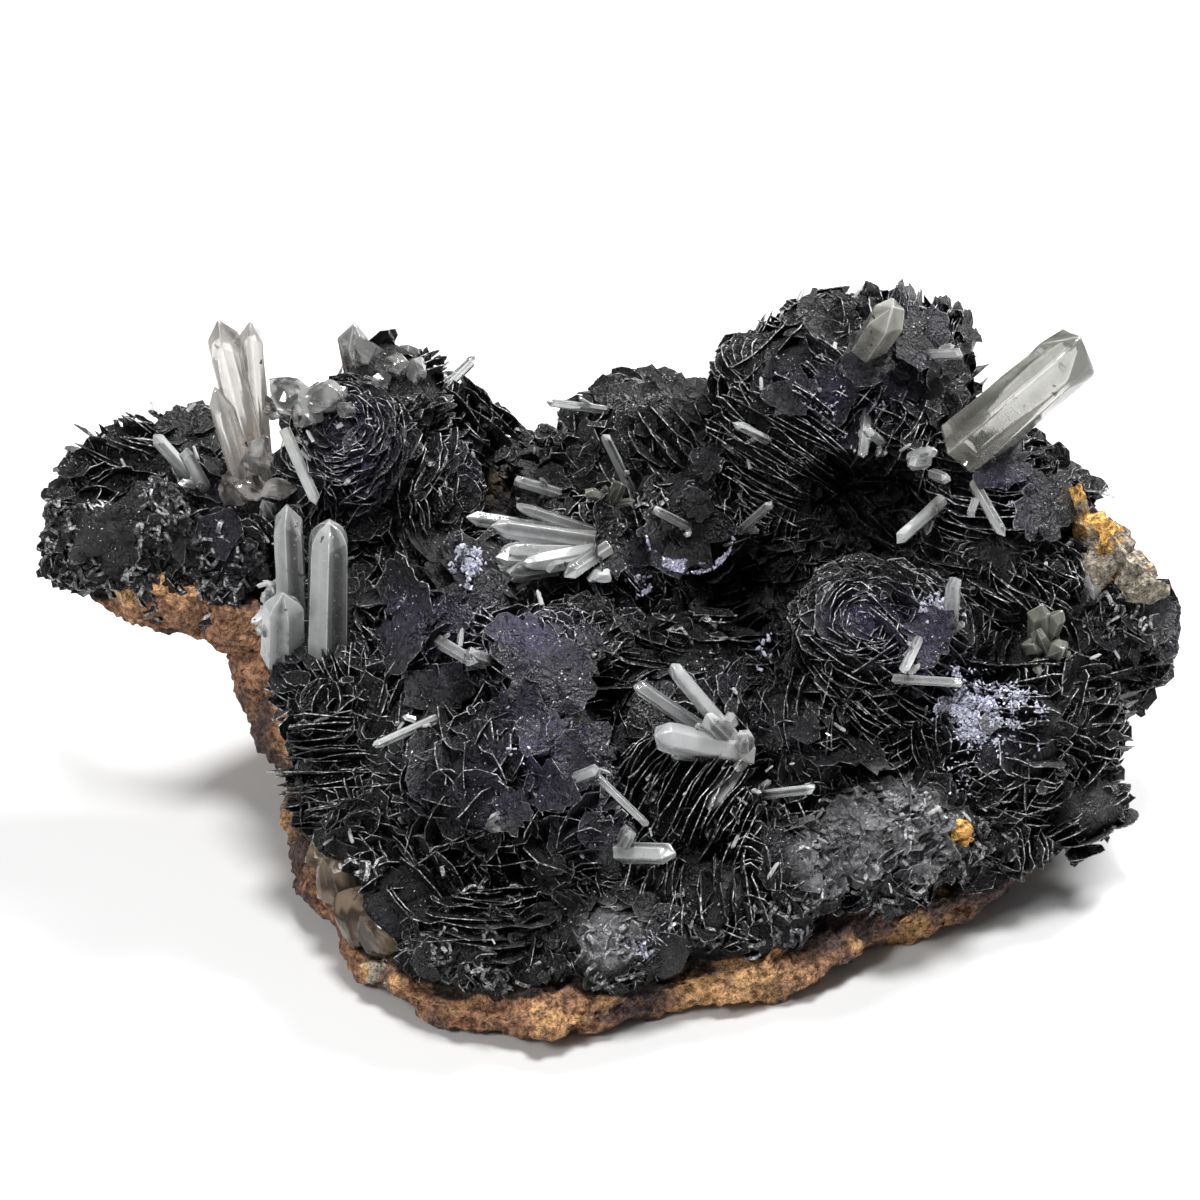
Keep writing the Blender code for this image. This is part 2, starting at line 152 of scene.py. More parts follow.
def gapToLines(points, starts, ends):
    # each point's distance to the nearest of some line pieces, and which one that is
    least, which = np.full(len(points), 9.0), np.zeros(len(points), int)
    for number, (start, end) in enumerate(zip(starts, ends)):
        line = end - start
        share = np.clip((points - start) @ line / (line @ line), 0, 1)
        gap = np.linalg.norm(points - start - share[:, None] * line, axis=1)
        which = np.where(gap < least, number, which)
        least = np.minimum(least, gap)
    return least, which


# Meshes

def ringFaces(corners, rings, way=1):
    # triangles of a fan from point 0 to the first ring, and of the band from each ring to the next; with way -1
    # they face the other side
    here = np.arange(corners)
    after = (here + 1) % corners
    found = [[0 * here, *(1 + here, 1 + after)[::way]]]
    for k in range(rings - 1):
        inner, outer = 1 + k * corners, 1 + (k + 1) * corners
        pairs = ((outer + here, outer + after), (outer + after, inner + after))
        found += [[inner + here, *pair[::way]] for pair in pairs[::way]]
    return np.concatenate([np.stack(one, 1) for one in found])


def closedFaces(corners, rings, way=1):
    # the same, closed by a fan from the last ring to one last point
    last = 1 + (rings - 1) * corners + np.arange(corners)
    cap = np.stack([0 * last + last[-1] + 1, np.roll(last, -1), last], 1)
    return np.concatenate([ringFaces(corners, rings, way), cap[:, ::way]])


def repeated(faces, size, count):
    # the faces of one shape for all its copies, whose points follow one another
    return (faces[None] + (np.arange(count) * size)[:, None, None]).reshape(-1, 3)


def meshFrom(name, points, faces, marks):
    # one mesh from arrays of points and faces of equal size, with a number per point for each mark
    mesh = bpy.data.meshes.new(name)
    count, corners = faces.shape
    mesh.vertices.add(len(points))
    mesh.vertices.foreach_set("co", np.asarray(points, np.float32).ravel())
    mesh.loops.add(count * corners)
    mesh.loops.foreach_set("vertex_index", np.asarray(faces, np.int32).ravel())
    mesh.polygons.add(count)
    mesh.polygons.foreach_set("loop_start", np.arange(0, count * corners, corners, dtype=np.int32))
    mesh.update(calc_edges=True)
    for mark, values in marks.items():
        layer = mesh.attributes.new(mark, "FLOAT", "POINT")
        layer.data.foreach_set("value", np.asarray(values, np.float32).ravel())
    return mesh


def placed(name, data):
    # a new object in the scene
    made = bpy.data.objects.new(name, data)
    bpy.context.scene.collection.objects.link(made)
    return made


def piece(name, points, faces, marks, material, sharpAngle, nodes, slot):
    # shows a mesh as one piece on the specimen's body, creased where faces meet at a sharper angle
    mesh = meshFrom(name, points, faces, marks)
    mesh.shade_smooth()
    mesh.set_sharp_from_angle(angle=math.radians(sharpAngle))
    mesh.materials.append(material)
    made = placed(name, mesh)
    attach(made, "root")
    if nodes:
        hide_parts(*nodes)
    print(name, len(faces), "faces")
    return made


def settled(mesh, voxel, passes, kept=1.0):
    # the mesh rebuilt from voxels, smoothed and thinned, as triangles: points, triangles and point normals
    holder = placed("holder", mesh)
    steps = {"REMESH": {"mode": "VOXEL", "voxel_size": voxel * mm},
             "SMOOTH": {"iterations": passes, "factor": 0.6}, "DECIMATE": {"ratio": kept}}
    for kind, values in steps.items():
        modifier = holder.modifiers.new(kind.lower(), kind)
        for key, value in values.items():
            setattr(modifier, key, value)
    bpy.context.view_layer.update()
    made = bpy.data.meshes.new_from_object(holder.evaluated_get(bpy.context.evaluated_depsgraph_get()))
    bpy.data.objects.remove(holder)
    made.calc_loop_triangles()
    points, normals = np.zeros((2, 3 * len(made.vertices)), np.float32)
    triangles = np.zeros(3 * len(made.loop_triangles), np.int32)
    made.vertices.foreach_get("co", points)
    made.vertices.foreach_get("normal", normals)
    made.loop_triangles.foreach_get("vertices", triangles)
    return points.reshape(-1, 3).astype(float), triangles.reshape(-1, 3), normals.reshape(-1, 3).astype(float)


def mergedCopy(node):
    # a copy of a node's mesh with its loose triangles joined at their corners
    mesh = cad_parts[node].data.copy()
    bm = bmesh.new()
    bm.from_mesh(mesh)
    bmesh.ops.remove_doubles(bm, verts=bm.verts, dist=0.001 * mm)
    bm.to_mesh(mesh)
    bm.free()
    return mesh


def surfaceSpots(points, triangles, count, chance):
    # random spots spread evenly over a mesh: triangles drawn by their area, and a random place in each
    a, b, c = (points[triangles[:, k]] for k in range(3))
    normal = np.cross(b - a, c - a)
    area = np.linalg.norm(normal, axis=1)
    drawn = chance.choice(len(area), count, p=area / area.sum())
    u, v = chance.random((2, count, 1))
    flip = u + v > 1
    u, v = np.where(flip, 1 - u, u), np.where(flip, 1 - v, v)
    return a[drawn] + u * (b - a)[drawn] + v * (c - a)[drawn], unit(normal[drawn])


def spacedOut(spots, gap):
    # the numbers of the spots kept, in order, so that no two are nearer than the gap
    kept = []
    for number, spot in enumerate(spots):
        if not kept or np.min(np.linalg.norm(spots[kept] - spot, axis=1)) > gap:
            kept.append(number)
    return np.array(kept)


# Where things are, in millimetres

crustLumps = [  # centre and radii of the dark mass under the plates
    ((-36, 17, 57), (10, 9, 9)), ((-30, 26, 61), (8, 8, 8)), ((-33, 22, 48), (15, 12, 12)),
    ((-69, 34, 43), (10, 10, 8)), ((-73, 26, 38), (9, 10, 8)), ((-58, 20, 38), (10, 9, 9)),
    ((-50, 24, 43), (10, 9, 8)), ((-60, 36, 44), (9, 9, 8)), ((-22, 31, 49), (9, 9, 9)),
    ((-12, 44, 33), (13, 11, 11)), ((-10, 34, 35), (11, 10, 10)), ((6, 42, 42), (14, 12, 13)),
    ((15, 42, 43), (10, 10, 11)), ((2, 22, 35), (12, 11, 11)), ((14, 24, 38), (10, 11, 12)),
    ((27, 29, 51), (11, 11, 12)), ((25, 36, 58), (8, 8, 8)), ((34, 37, 62), (9, 9, 9)),
    ((43, 35, 60), (12, 12, 12)), ((40, 28, 53), (11, 10, 11)), ((34, 26, 40), (13, 10, 12)),
    ((56, 22, 47), (12, 11, 10)), ((66, 20, 41), (8, 9, 9)), ((73, 12, 29), (9.5, 10, 12)),
    ((58, 13, 37), (13, 12, 11)), ((60, 5, 26), (12, 12, 12)), ((38, -4, 36), (13, 12, 12)),
    ((48, 8, 33), (12, 12, 10)), ((44, -8, 23), (12, 12, 10)), ((56, -10, 23), (10, 9, 10)),
    ((66, -8, 13), (9, 8, 6.5)), ((54, -14, 11), (9, 8, 5.5)), ((40, -23, 17), (11, 9, 9)),
    ((26, -28, 15), (9, 8, 8)), ((-14, -23, 25), (15, 12, 12)), ((-36, -11, 19), (8, 9, 9)),
    ((-31, -20, 15), (8, 9, 8)), ((-36, -2, 27), (10, 10, 9)), ((-38, 8, 34), (9, 10, 9)),
    ((-9, -8, 35), (10, 10, 9)), ((-20, 4, 36), (12, 12, 11)), ((-26, -30, 11), (9, 8, 7)),
    ((-15, -39, 11), (12, 8, 6.5)), ((3, -38, 12), (11, 8, 7.5)), ((14, -33, 14), (9, 8, 7)),
    ((12, -22, 23), (11, 10, 10)), ((12, 4, 28), (13, 13, 9)), ((27, -12, 27), (10, 10, 9)),
    ((26, 16, 26), (12, 12, 8)), ((-12, 18, 34), (10, 9, 9)), ((-3, 2, 31), (9, 9, 8)),
    ((8, -10, 26), (10, 9, 9)), ((23, 3, 26), (9, 9, 8)), ((-27, -7, 28), (9, 9, 9)),
    ((66, 0, 22), (9, 9, 10)), ((-2, -30, 18), (9, 8, 8)),
]
rockLumps = [  # centre and radii of the brown rock, to keep the plates out of it
    ((-10, -22, 4), (27, 29, 8)), ((12, -18, 4), (30, 25, 8)), ((34, -8, 4), (27, 20, 9)),
    ((-22, -3, 6), (24, 28, 11)), ((12, 22, 9), (46, 28, 16)), ((-28, 26, 16), (22, 17, 15)),
    ((38, 36, 28), (20, 12, 18)), ((-26, 33, 33), (16, 10, 16)), ((-52, 25, 31), (25, 12, 7)),
    ((-43, 14, 20), (10, 10, 15)), ((66, 19, 36), (9, 8, 13)),
]
fillLumps = [  # more of the dark mass, between its lumps where it is bare
    ((-65, 19, 41), (13, 7, 7)), ((-59, 17, 38), (12, 6, 6)), ((-8, -38, 11), (16, 7, 6)),
    ((17, -32, 11), (14, 7, 6)), ((38, -22, 18), (12, 7, 8)), ((46, -18, 15), (9, 7, 7)),
    ((8, 41, 43), (14, 8, 8)), ((38, 34, 59), (12, 8, 9)), ((66, 8, 30), (9, 8, 9)),
]
leafySpots = [  # centre and radius of the places with leaves like shingles
    ((34, 31, 68), 9), ((5, 40, 52), 13), ((-3, 34, 48), 8), ((73, 4, 36), 8), ((-28, 28, 63), 8),
    ((3, -44, 14), 7), ((48, 26, 64), 9), ((-4, -20, 38), 8), ((59, 14, 53), 5), ((26, -33, 20), 6),
]
crossedSpots = [  # of those with blades that cross
    ((-14, -24, 28), 13), ((-28, -8, 34), 8), ((60, -14, 24), 7), ((68, 2, 30), 6),
]
bareSpots = [  # of those where the dark mass shows, without rosettes
    ((-64, 17, 42), 9), ((-74, 17, 40), 9), ((-56, 12, 40), 8), ((-64, 12, 36), 8), ((-48, 11, 37), 5),
    ((-22, -46, 12), 7), ((-11, -48, 12), 8), ((2, -45, 11), 7), ((12, -41, 8), 7), ((26, -37, 10), 7),
    ((37, -31, 11), 8), ((34, -30, 21), 7), ((41, -29, 25), 8), ((47, -27, 17), 7), ((53, -23, 13), 6),
    ((73, 6, 38), 5), ((76, 1, 32), 6),
]
paleSpots = [  # of the smooth grey ones
    ((33, -31, 21), 8), ((41, -28, 25), 8), ((46, -29, 20), 6), ((1, -45, 16), 5), ((52, -15, 31), 4),
]
hollows = [  # of the deep holes between the rosettes
    ((38.5, 18.5, 47.5), 8.5), ((22, 11, 34.5), 9), ((-14, 29, 46.5), 8), ((-22, 3.5, 45.5), 5.5),
    ((26, -9, 37), 4.5), ((-1, -12, 35), 5.5), ((13, 11.5, 45.5), 5.8), ((-12, -27, 31), 3.5),
    ((-20, -26, 25), 3), ((56, 8, 44), 4), ((62, -9, 29), 3.5),
]
violetSpots = [  # centre, how far it spreads, strength
    ((34, 21, 61), 7, 1), ((57, 10, 54), 7, 1), ((46, -12, 45), 6, 0.9), ((35, -11, 46), 5, 0.9),
    ((26, -20, 32), 4, 0.8), ((14, 17, 46), 4, 0.8), ((-26, -4, 42), 6, 1), ((-9, -12, 42), 8, 1),
    ((-6, -26, 35), 8, 0.9), ((53, -14, 31), 5, 1), ((48, -21, 9), 4, 0.5), ((-33, 12, 60), 6, 0.5),
    ((-34, 13, 52), 5, 0.6), ((22, 12, 52), 5, 0.7), ((55, 12, 55), 5, 0.7), ((6, 12, 40), 4, 0.5),
    ((-16, -30, 30), 4, 0.5), ((45, -15, 36), 4, 0.5),
]
crustCentres, crustRadii = lumpsOf(crustLumps)
rockCentres, rockRadii = lumpsOf(rockLumps)

# centre, radius, axis and open side (each right, up, towards the viewer), plates, pitch, fan in degrees,
# bowl, taper
roses = {
    "leftCrest": ((-25, 27, 60), 7, (-0.3, 0.9, 0.2), (0, 0.3, 1), 8, 1.1, 25, 0.1, 0),
    "armTop": ((-69, 36, 44), 10.5, (0.35, 0.9, 0.1), (-0.5, 0, 1), 9, 1, 22, 0.1, 0),
    "armTip": ((-75, 29, 40), 8, (-0.5, 0.6, 0.6), (-1, 0, 0.4), 8, 1, 30, 0.1, 0),
    "armRoot": ((-54, 24, 42), 9, (0.2, 0.8, 0.6), (0, 0.3, 1), 8, 1, 22, 0.05, 0),
    "leftValley": ((-21, 31, 51), 8, (0.7, 0.7, 0.1), (0.3, 0.2, 0.8), 9, 1, 20, 0.1, 0),
    "backValley": ((-12, 47, 36), 10, (0.2, 0.9, 0.3), (0, 0.3, -0.8), 9, 1.1, 25, 0.1, 0),
    "midCrest": ((12, 36, 48), 9, (0.7, 0.6, 0.3), (-0.2, 0.4, 0.9), 8, 1.1, 30, 0.06, 0),
    "midFan": ((2, 18, 40), 10, (0.8, 0.5, 0.3), (-0.3, 0.2, 0.9), 14, 0.95, 18, 0.1, 0),
    "upperStack": ((28, 26, 53), 13, (0.52, 0.82, 0), (-0.3, 0, 1), 24, 0.75, 16, 0.05, 0),
    "upperCrest": ((26, 35, 61), 7, (-0.6, 0.7, 0.3), (0, 0.5, 0.8), 8, 1.1, 28, 0.08, 0),
    "peak": ((45, 35, 67), 8, (0.9, 0.1, 0.3), (0, 0.9, 0.3), 12, 0.9, 45, 0.08, 0),
    "peakBack": ((44, 35, 61), 10, (-0.8, 0.5, 0.3), (0.3, 0.9, 0), 8, 1.2, 38, 0.08, 0),
    "rightBowl": ((56, 17, 47.5), 12.5, (0.1, 1, 0.3), (0, 0, 1), 16, 0.95, 6, 0.16, 0.1),
    "rightEdge": ((66, 21, 45), 8, (0.3, 0.8, 0.5), (0.8, 0, 0.6), 9, 1, 24, 0.1, 0),
    "rightMass": ((72, 10, 29), 11, (0.6, 0.3, 0.6), (0.6, 0.2, -0.4), 9, 1.1, 28, 0.08, 0),
    "lowRoseStack": ((40, -9, 35), 12.5, (0.6, 0.75, 0.1), (0, -0.3, 1), 15, 1, 14, 0.15, 0),
    "lowRight": ((57, -9, 25), 11, (0.1, 1, 0.1), (0.3, 0, 1), 12, 0.95, 32, 0.05, 0),
    "rightFan": ((67, -9, 12), 10, (-0.5, 0.8, 0.2), (0.8, 0.5, 0.3), 11, 0.9, 42, 0.05, 0),
    "lowFan": ((55, -14, 11), 9, (0.4, 0.9, 0.1), (0.5, -0.3, 0.8), 11, 0.9, 42, 0.05, 0),
    "leftStack": ((-37, -12, 20), 10, (-0.1, 1, 0), (-0.5, 0, 0.8), 14, 0.95, 8, 0.05, 0),
    "leftTop": ((-37, -3, 28), 9, (-0.5, 0.6, 0.6), (-0.5, 0.3, 0.3), 7, 1.1, 22, 0.08, 0),
    "purpleBox": ((-4, -16, 34), 9.5, (0.8, 0.4, 0.4), (0.2, -0.4, 0.9), 9, 1.2, 28, 0.1, 0),
    "lowLeftFan": ((-25, -30, 12), 9, (0.7, 0.7, 0), (-0.4, 0.3, 0.9), 12, 0.95, 28, 0.08, 0),
    "frontFoot": ((-16, -37, 14), 11, (0, 1, 0.2), (0, 0, 1), 9, 0.8, 5, 0.02, 0),
    "spraySeat": ((13, -25, 26), 12, (0.8, -0.5, 0.2), (-0.2, -0.3, 0.9), 18, 0.95, 8, 0.06, 0),
    "innerShelf": ((12, 2, 31), 12, (0.2, 1, 0.2), (0, 0, 1), 8, 1.3, 8, 0.08, 0),
    "innerRight": ((27, -12, 30), 9, (0.9, 0.1, 0.4), (0, 0.8, 0.5), 8, 1.2, 22, 0.1, 0),
    "innerLeft": ((-20, 9, 42), 11, (0.5, 0.6, 0.5), (0.3, -0.2, 0.7), 9, 1.2, 22, 0.08, 0),
    "frontLow": ((14, -34, 16), 9, (1, 0, 0.2), (0, -0.3, 1), 12, 1, 28, 0.1, 0),
}
petalRoses = [  # centre, radius, axis and number of petals of the roses seen from their open side
    ((-36, 17, 57), 10.3, (0, 0.35, 0.95), 95), ((38, -4, 36), 12.6, (-0.15, 0.5, 0.85), 100),
    ((14, 23, 38), 10.5, (-0.1, 0.65, 0.75), 55), ((-9, -9, 34), 10, (0.1, 0.75, 0.65), 40),
    ((-33, 22, 50), 13, (-0.9, 0.2, 0.4), 50), ((73, 12, 29), 11, (0.5, 0.4, 0.75), 45),
    ((-70, 34, 41), 9, (0.2, 0.7, 0.65), 35), ((-12, 44, 33), 12, (0, 0.5, -0.85), 60),
    ((43, 38, 55), 12, (0.3, 0.5, -0.8), 70), ((6, 44, 42), 13, (0, 0.6, -0.8), 60),
    ((66, 20, 41), 9, (0.8, 0.4, -0.4), 40),
]


# Hematite plates

plateLimits = {  # past the box, above the floor, share in the rock, least radius, depth in a hollow, rim points
    "past": 1.2, "floor": 0.6, "buried": 0.4, "least": 0.8, "hollow": 0.8, "rim": 8,
}
# bareRim widens the gap to the rim in bare places, which makes their painted rim highlights fainter
plateShape = {"notched": 0.22, "uneven": (0.3, 1), "thickness": (0.7, 1.4), "bareRim": 0.07}  # of every look
roseShape = {
    "uneven": 0.25, "shift": 0.07, "barrel": 0.7, "sizes": (0.84, 1.06), "bowlTurn": 0.1, "bowlSpread": 0.03,
}
petalShape = {
    "turn": 2.4, "uneven": 0.45, "reach": 0.95, "lean": (8, 60, 13), "size": (0.2, 0.48),
    "outer": (0.45, 0.6), "sunk": 0.3, "below": 0.8, "loose": 0.13, "bend": -0.45,
}
brokenShape = {"turn": 2.5, "out": (0.75, 1.15), "lift": 0.15, "loose": 0.03, "size": (0.85, 1.1)}


def plateFaces(spokes, rings):
    # triangles of one plate: its upper side, its lower side and a band round the rim; and its number of points
    upper, half = ringFaces(spokes, rings), 1 + rings * spokes
    top = half - spokes + np.arange(spokes)
    after = np.roll(top, -1)
    rim = [np.stack([top, half + top, half + after], 1), np.stack([top, half + after, after], 1)]
    return np.concatenate([upper, upper[:, ::-1] + half, *rim]), 2 * half


def plates(look, centres, normals, radii, bowls, chance):
    # each plate is a disc: its point at share s of the ragged radius r(a) and angle a lies at
    # centre + s r(a) (cos a, sin a) + normal * s^2 * radius * (bowl + wave cos(2a)), up or down by half the
    # thickness
    count, spokes, rings = len(centres), look["spokes"], look["rings"]
    angle = 2 * np.pi * np.arange(spokes) / spokes
    outline = np.ones((count, spokes))
    for lobes, size in look["lobes"]:
        start = chance.uniform(0, 2 * np.pi, (count, 1))
        outline += size * chance.uniform(*plateShape["uneven"], (count, 1)) * np.cos(lobes * angle + start)
    outline += look["ragged"] * chance.uniform(-1, 1, (count, spokes))
    notch = look["notch"] * chance.random((count, spokes))
    outline *= 1 - notch * (chance.random((count, spokes)) < plateShape["notched"])
    along = across(normals, chance.normal(size=normals.shape))
    aside = np.cross(normals, along)
    share = (np.arange(rings) + 1) / rings
    reach = share[None, :, None] * outline[:, None, :] * radii[:, None, None]
    wave = look["wave"] * np.cos(2 * angle + chance.uniform(0, 6, (count, 1)))
    lift = share[None, :, None] ** 2 * (bowls[:, None, None] + wave[:, None, :])
    lift = lift + look["crumple"] * share[None, :, None] * chance.normal(size=(count, rings, spokes))
    middle = (
        centres[:, None, None, :]
        + (reach * np.cos(angle))[..., None] * along[:, None, None, :]
        + (reach * np.sin(angle))[..., None] * aside[:, None, None, :]
        + (lift * radii[:, None, None])[..., None] * normals[:, None, None, :]
    )
    middle = np.concatenate([centres[:, None, :], middle.reshape(count, rings * spokes, 3)], axis=1)
    edge = np.concatenate([[0], np.repeat(share, spokes)])
    # the gap to the rim in millimetres, where the material paints a white rim highlight
    rimGap = (1 - edge) * radii[:, None] / mm
    thickness = look["thickness"] * mm * chance.uniform(*plateShape["thickness"], (count, 1))
    thickness = thickness * (1 - look["thinning"] * edge)
    half = 0.5 * thickness[..., None] * normals[:, None, :]
    points = np.concatenate([middle + half, middle - half], axis=1)
    tone = np.repeat(chance.random((count, 1)), points.shape[1], axis=1)
    return {"points": points, "edge": np.tile(edge, (count, 2)), "rimGap": np.tile(rimGap, (1, 2)),
            "tone": tone, "look": look}


def standOut(points):
    # how far each point stands out of the lumps: the least (scaled distance - 1) * mean radius
    least = np.full(len(points), 9.0)
    for centre, size in zip(crustCentres, crustRadii):
        least = np.minimum(least, (np.linalg.norm((points - centre) / size, axis=1) - 1) * size.mean())
    return least


def bareAt(points):
    # how bare of rosettes each place is
    return within(points, bareSpots, (0.85, 1.05), 0.25, 8)


def shadeAt(points):
    # how deep in shade each place is: 1 in the hollows, fading out beyond their walls
    return within(points, hollows, (0.9, 1.4), 0.12, 9)


violetLook = {"cell": 9, "least": 0.6, "more": 0.7, "elsewhere": 0.25, "from": (0.3, 0.9)}


def violetAt(points):
    # how violet the hematite is: round spots that fade with distance, broken up by noise
    total = np.zeros(len(points))
    for centre, size, strength in violetSpots:
        gap = np.linalg.norm(points / mm - np.array(centre), axis=1) / size
        total += strength * np.exp(-gap**2)
    cloud = roughNoise(points, violetLook["cell"] * mm, 3, 5)
    elsewhere = violetLook["elsewhere"] * smoothStep(*violetLook["from"], cloud)
    return np.clip(total * (violetLook["least"] + violetLook["more"] * cloud) + elsewhere, 0, 1)


def marksAt(points, edge, rimGap, tone):
    # what the hematite's material reads at each point: the plate's own numbers, and those of the place
    pale = within(points, paleSpots, (0.7, 1.1), 0, 0)
    return {"edge": edge, "rimGap": rimGap + plateShape["bareRim"] * bareAt(points), "tone": tone,
            "violet": violetAt(points), "pale": pale, "shade": shadeAt(points)}


def fitted(made, limit, quartzShare, bareChance, chance):
    # leaves small enough to stand out of the lumps no farther than the limit: the size times the share of the
    # way from the middle to the farthest of some rim points that lies inside it; dropped where that leaves
    # too little, in the hollows, close to a crystal and, but for a few, in the bare places
    centre, normal, size, bowl = made[:4]
    along = across(normal, chance.normal(size=normal.shape))
    turn = (2 * np.pi / plateLimits["rim"] * np.arange(plateLimits["rim"]))[:, None]
    way = np.cos(turn) * along[:, None] + np.sin(turn) * np.cross(normal, along)[:, None]
    inner = standOut(centre)
    for attempt in range(2):
        rim = centre[:, None] + size[:, None, None] * way
        worst = standOut(rim.reshape(-1, 3)).reshape(len(size), -1).max(axis=1)
        size = size * np.clip((limit * mm - inner) / np.maximum(worst - inner, 0.01 * mm), 0, 1)
    gap, which = gapToLines(centre, crystalStarts, crystalEnds)
    kept = (size > plateLimits["least"] * mm) & (gap > crystalRadii[which] + quartzShare * size)
    kept &= depthIn(centre, *lumpsOf(hollows)) > plateLimits["hollow"]
    kept &= chance.random(len(size)) > bareAt(centre) * (1 - bareChance)
    return centre[kept], normal[kept], size[kept], bowl[kept]


def boxed(made):
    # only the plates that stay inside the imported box, off the floor and mostly out of the rock
    points = made["points"]
    low, high = np.array(cadBox[0]) - plateLimits["past"] * mm, np.array(cadBox[1]) + plateLimits["past"] * mm
    low[2] = plateLimits["floor"] * mm
    inside = np.all((points > low) & (points < high), axis=(1, 2))
    flat = points.reshape(-1, 3)
    buried = depthIn(flat, rockCentres, rockRadii * 0.97).reshape(points.shape[:2]) < 1
    kept = inside & (buried.mean(axis=1) < plateLimits["buried"])
    return {key: value[kept] if key != "look" else value for key, value in made.items()}


def showPlates(name, made, sharpAngle=35):
    # shows one set of plates as a piece
    points = made["points"].reshape(-1, 3)
    template, size = plateFaces(made["look"]["spokes"], made["look"]["rings"])
    marks = marksAt(points, *(made[mark].ravel() for mark in ("edge", "rimGap", "tone")))
    faces = repeated(template, size, len(made["points"]))
    piece(name, points, faces, marks, hematite, sharpAngle, ["hematite_roses"], "hematite")


def roseParts(rose, chance):
    # the plates of many rosettes: plate k of n sits at t from -1 to 1 along the rosette's own axis,
    # turned by fan * t about a hinge behind it, with the radius of a barrel that narrows by the taper
    counts = rose["count"]
    row = np.repeat(np.arange(len(counts)), counts)
    first = np.repeat(np.cumsum(counts) - counts, counts)
    t = 2 * (np.arange(counts.sum()) - first + 0.5) / counts[row] - 1
    t = t + chance.normal(0, roseShape["uneven"], len(t)) / counts[row]
    axis, opened = rose["axis"][row], rose["open"][row]
    radius = rose["radius"][row] * mm
    turn = (rose["fan"][row] * t)[:, None]
    offset = (t * counts[row] * rose["pitch"][row] * mm / 2)[:, None]
    normal = axis * np.cos(turn) - opened * np.sin(turn)
    leaned = opened * np.cos(turn) + axis * np.sin(turn)
    centre = rose["centre"][row] * mm + (leaned - opened) * radius[:, None] + axis * offset
    wobble = chance.normal(size=normal.shape) * rose["wobble"][row][:, None]
    centre = centre + across(normal, chance.normal(size=normal.shape)) * roseShape["shift"] * radius[:, None]
    size = radius * np.sqrt(1 - (roseShape["barrel"] * t) ** 2) * (1 + rose["taper"][row] * t)
    size = size * chance.uniform(*roseShape["sizes"], len(t))
    bowl = rose["bowl"][row] + roseShape["bowlTurn"] * t + chance.normal(0, roseShape["bowlSpread"], len(t))
    return centre, unit(normal + wobble), size, bowl, leaned


def petals(rows, chance):
    # roses like a flower: petal k of n at the turn 2.4 k, its tip on a dome and sqrt(k / n) of the radius from
    # the axis, leaning out more the farther it stands, and bent round the axis
    shape, parts = petalShape, []
    for centre, radius, axis, count in rows:
        axis = facing(*axis)
        one = across(axis, np.array((0.3, 0.5, 0.8)))
        share = shape["reach"] * np.sqrt((np.arange(count) + 0.5) / count)[:, None]
        turn = (shape["turn"] * np.arange(count) + chance.normal(0, shape["uneven"], count))[:, None]
        away = np.cos(turn) * one + np.sin(turn) * np.cross(axis, one)
        upright, outer, loose = shape["lean"]
        lean = np.radians(upright + outer * share + chance.normal(0, loose, (count, 1)))
        inner, grown = shape["outer"]
        size = radius * chance.uniform(*shape["size"], count) * (inner + grown * share[:, 0])
        rise = np.sqrt(1 - share**2) - shape["sunk"] * (1 - share) ** 2
        middle = np.array(centre) + radius * (share * away + rise * axis)
        middle = middle - shape["below"] * size[:, None] * (np.cos(lean) * axis + np.sin(lean) * away)
        normal = np.cos(lean) * away - np.sin(lean) * axis + shape["loose"] * chance.normal(size=away.shape)
        bend = shape["bend"] * size / (radius * share[:, 0] + size)
        parts.append((middle * mm, unit(normal), size * mm, bend))
    return [np.concatenate(part) for part in zip(*parts)]


def broken(made, tiles, share, chance):
    # each plate broken into overlapping leaves: leaf j is smaller and lies off the middle, at an angle spread
    # about the open side, and follows the plate's bowl: outward by share and up by bowl * share^2
    centre, normal, size, bowl, opened = (np.repeat(part, tiles, axis=0) for part in made)
    along = across(normal, opened)
    aside = np.cross(normal, along)
    turn = brokenShape["turn"] * chance.uniform(-1, 1, len(size))
    out = share * chance.uniform(*brokenShape["out"], len(size))
    way = np.cos(turn)[:, None] * along + np.sin(turn)[:, None] * aside
    centre = centre + (out * size)[:, None] * way + (bowl * out**2 * size)[:, None] * normal
    centre = centre + (chance.normal(0, brokenShape["lift"], len(size)) * mm)[:, None] * normal
    loose = brokenShape["loose"] * chance.normal(size=normal.shape)
    normal = unit(normal - (2 * bowl * out)[:, None] * way + loose)
    return centre, normal, size * (1 - out) * chance.uniform(*brokenShape["size"], len(size)), bowl


# Materials

def addNode(tree, kind, inputs=None, **settings):
    # one shader node; its inputs are plain values, or outputs of other nodes to link from
    made = tree.nodes.new(kind)
    for name, value in settings.items():
        setattr(made, name, value)
    for name, value in (inputs or {}).items():
        if isinstance(value, bpy.types.NodeSocket):
            tree.links.new(value, made.inputs[name])
        else:
            made.inputs[name].default_value = value
    return made


def rgba(colour):
    return (*colour, 1.0)


def blended(tree, low, high, factor, way="MIX"):
    # a mix of two colours, each given as three numbers or as another node's output
    low, high = (one if isinstance(one, bpy.types.NodeSocket) else rgba(one) for one in (low, high))
    inputs = {0: factor, 6: low, 7: high}
    return addNode(tree, "ShaderNodeMix", inputs, data_type="RGBA", blend_type=way).outputs[2]


def stepped(tree, value, low, high, toLow=0.0, toHigh=1.0):
    # a value mapped smoothly from one range to another
    inputs = {"Value": value, 1: low, 2: high, 3: toLow, 4: toHigh}
    return addNode(tree, "ShaderNodeMapRange", inputs, interpolation_type="SMOOTHSTEP").outputs[0]


def combined(tree, operation, first, second):
    # one number from two
    return addNode(tree, "ShaderNodeMath", {0: first, 1: second}, operation=operation).outputs[0]


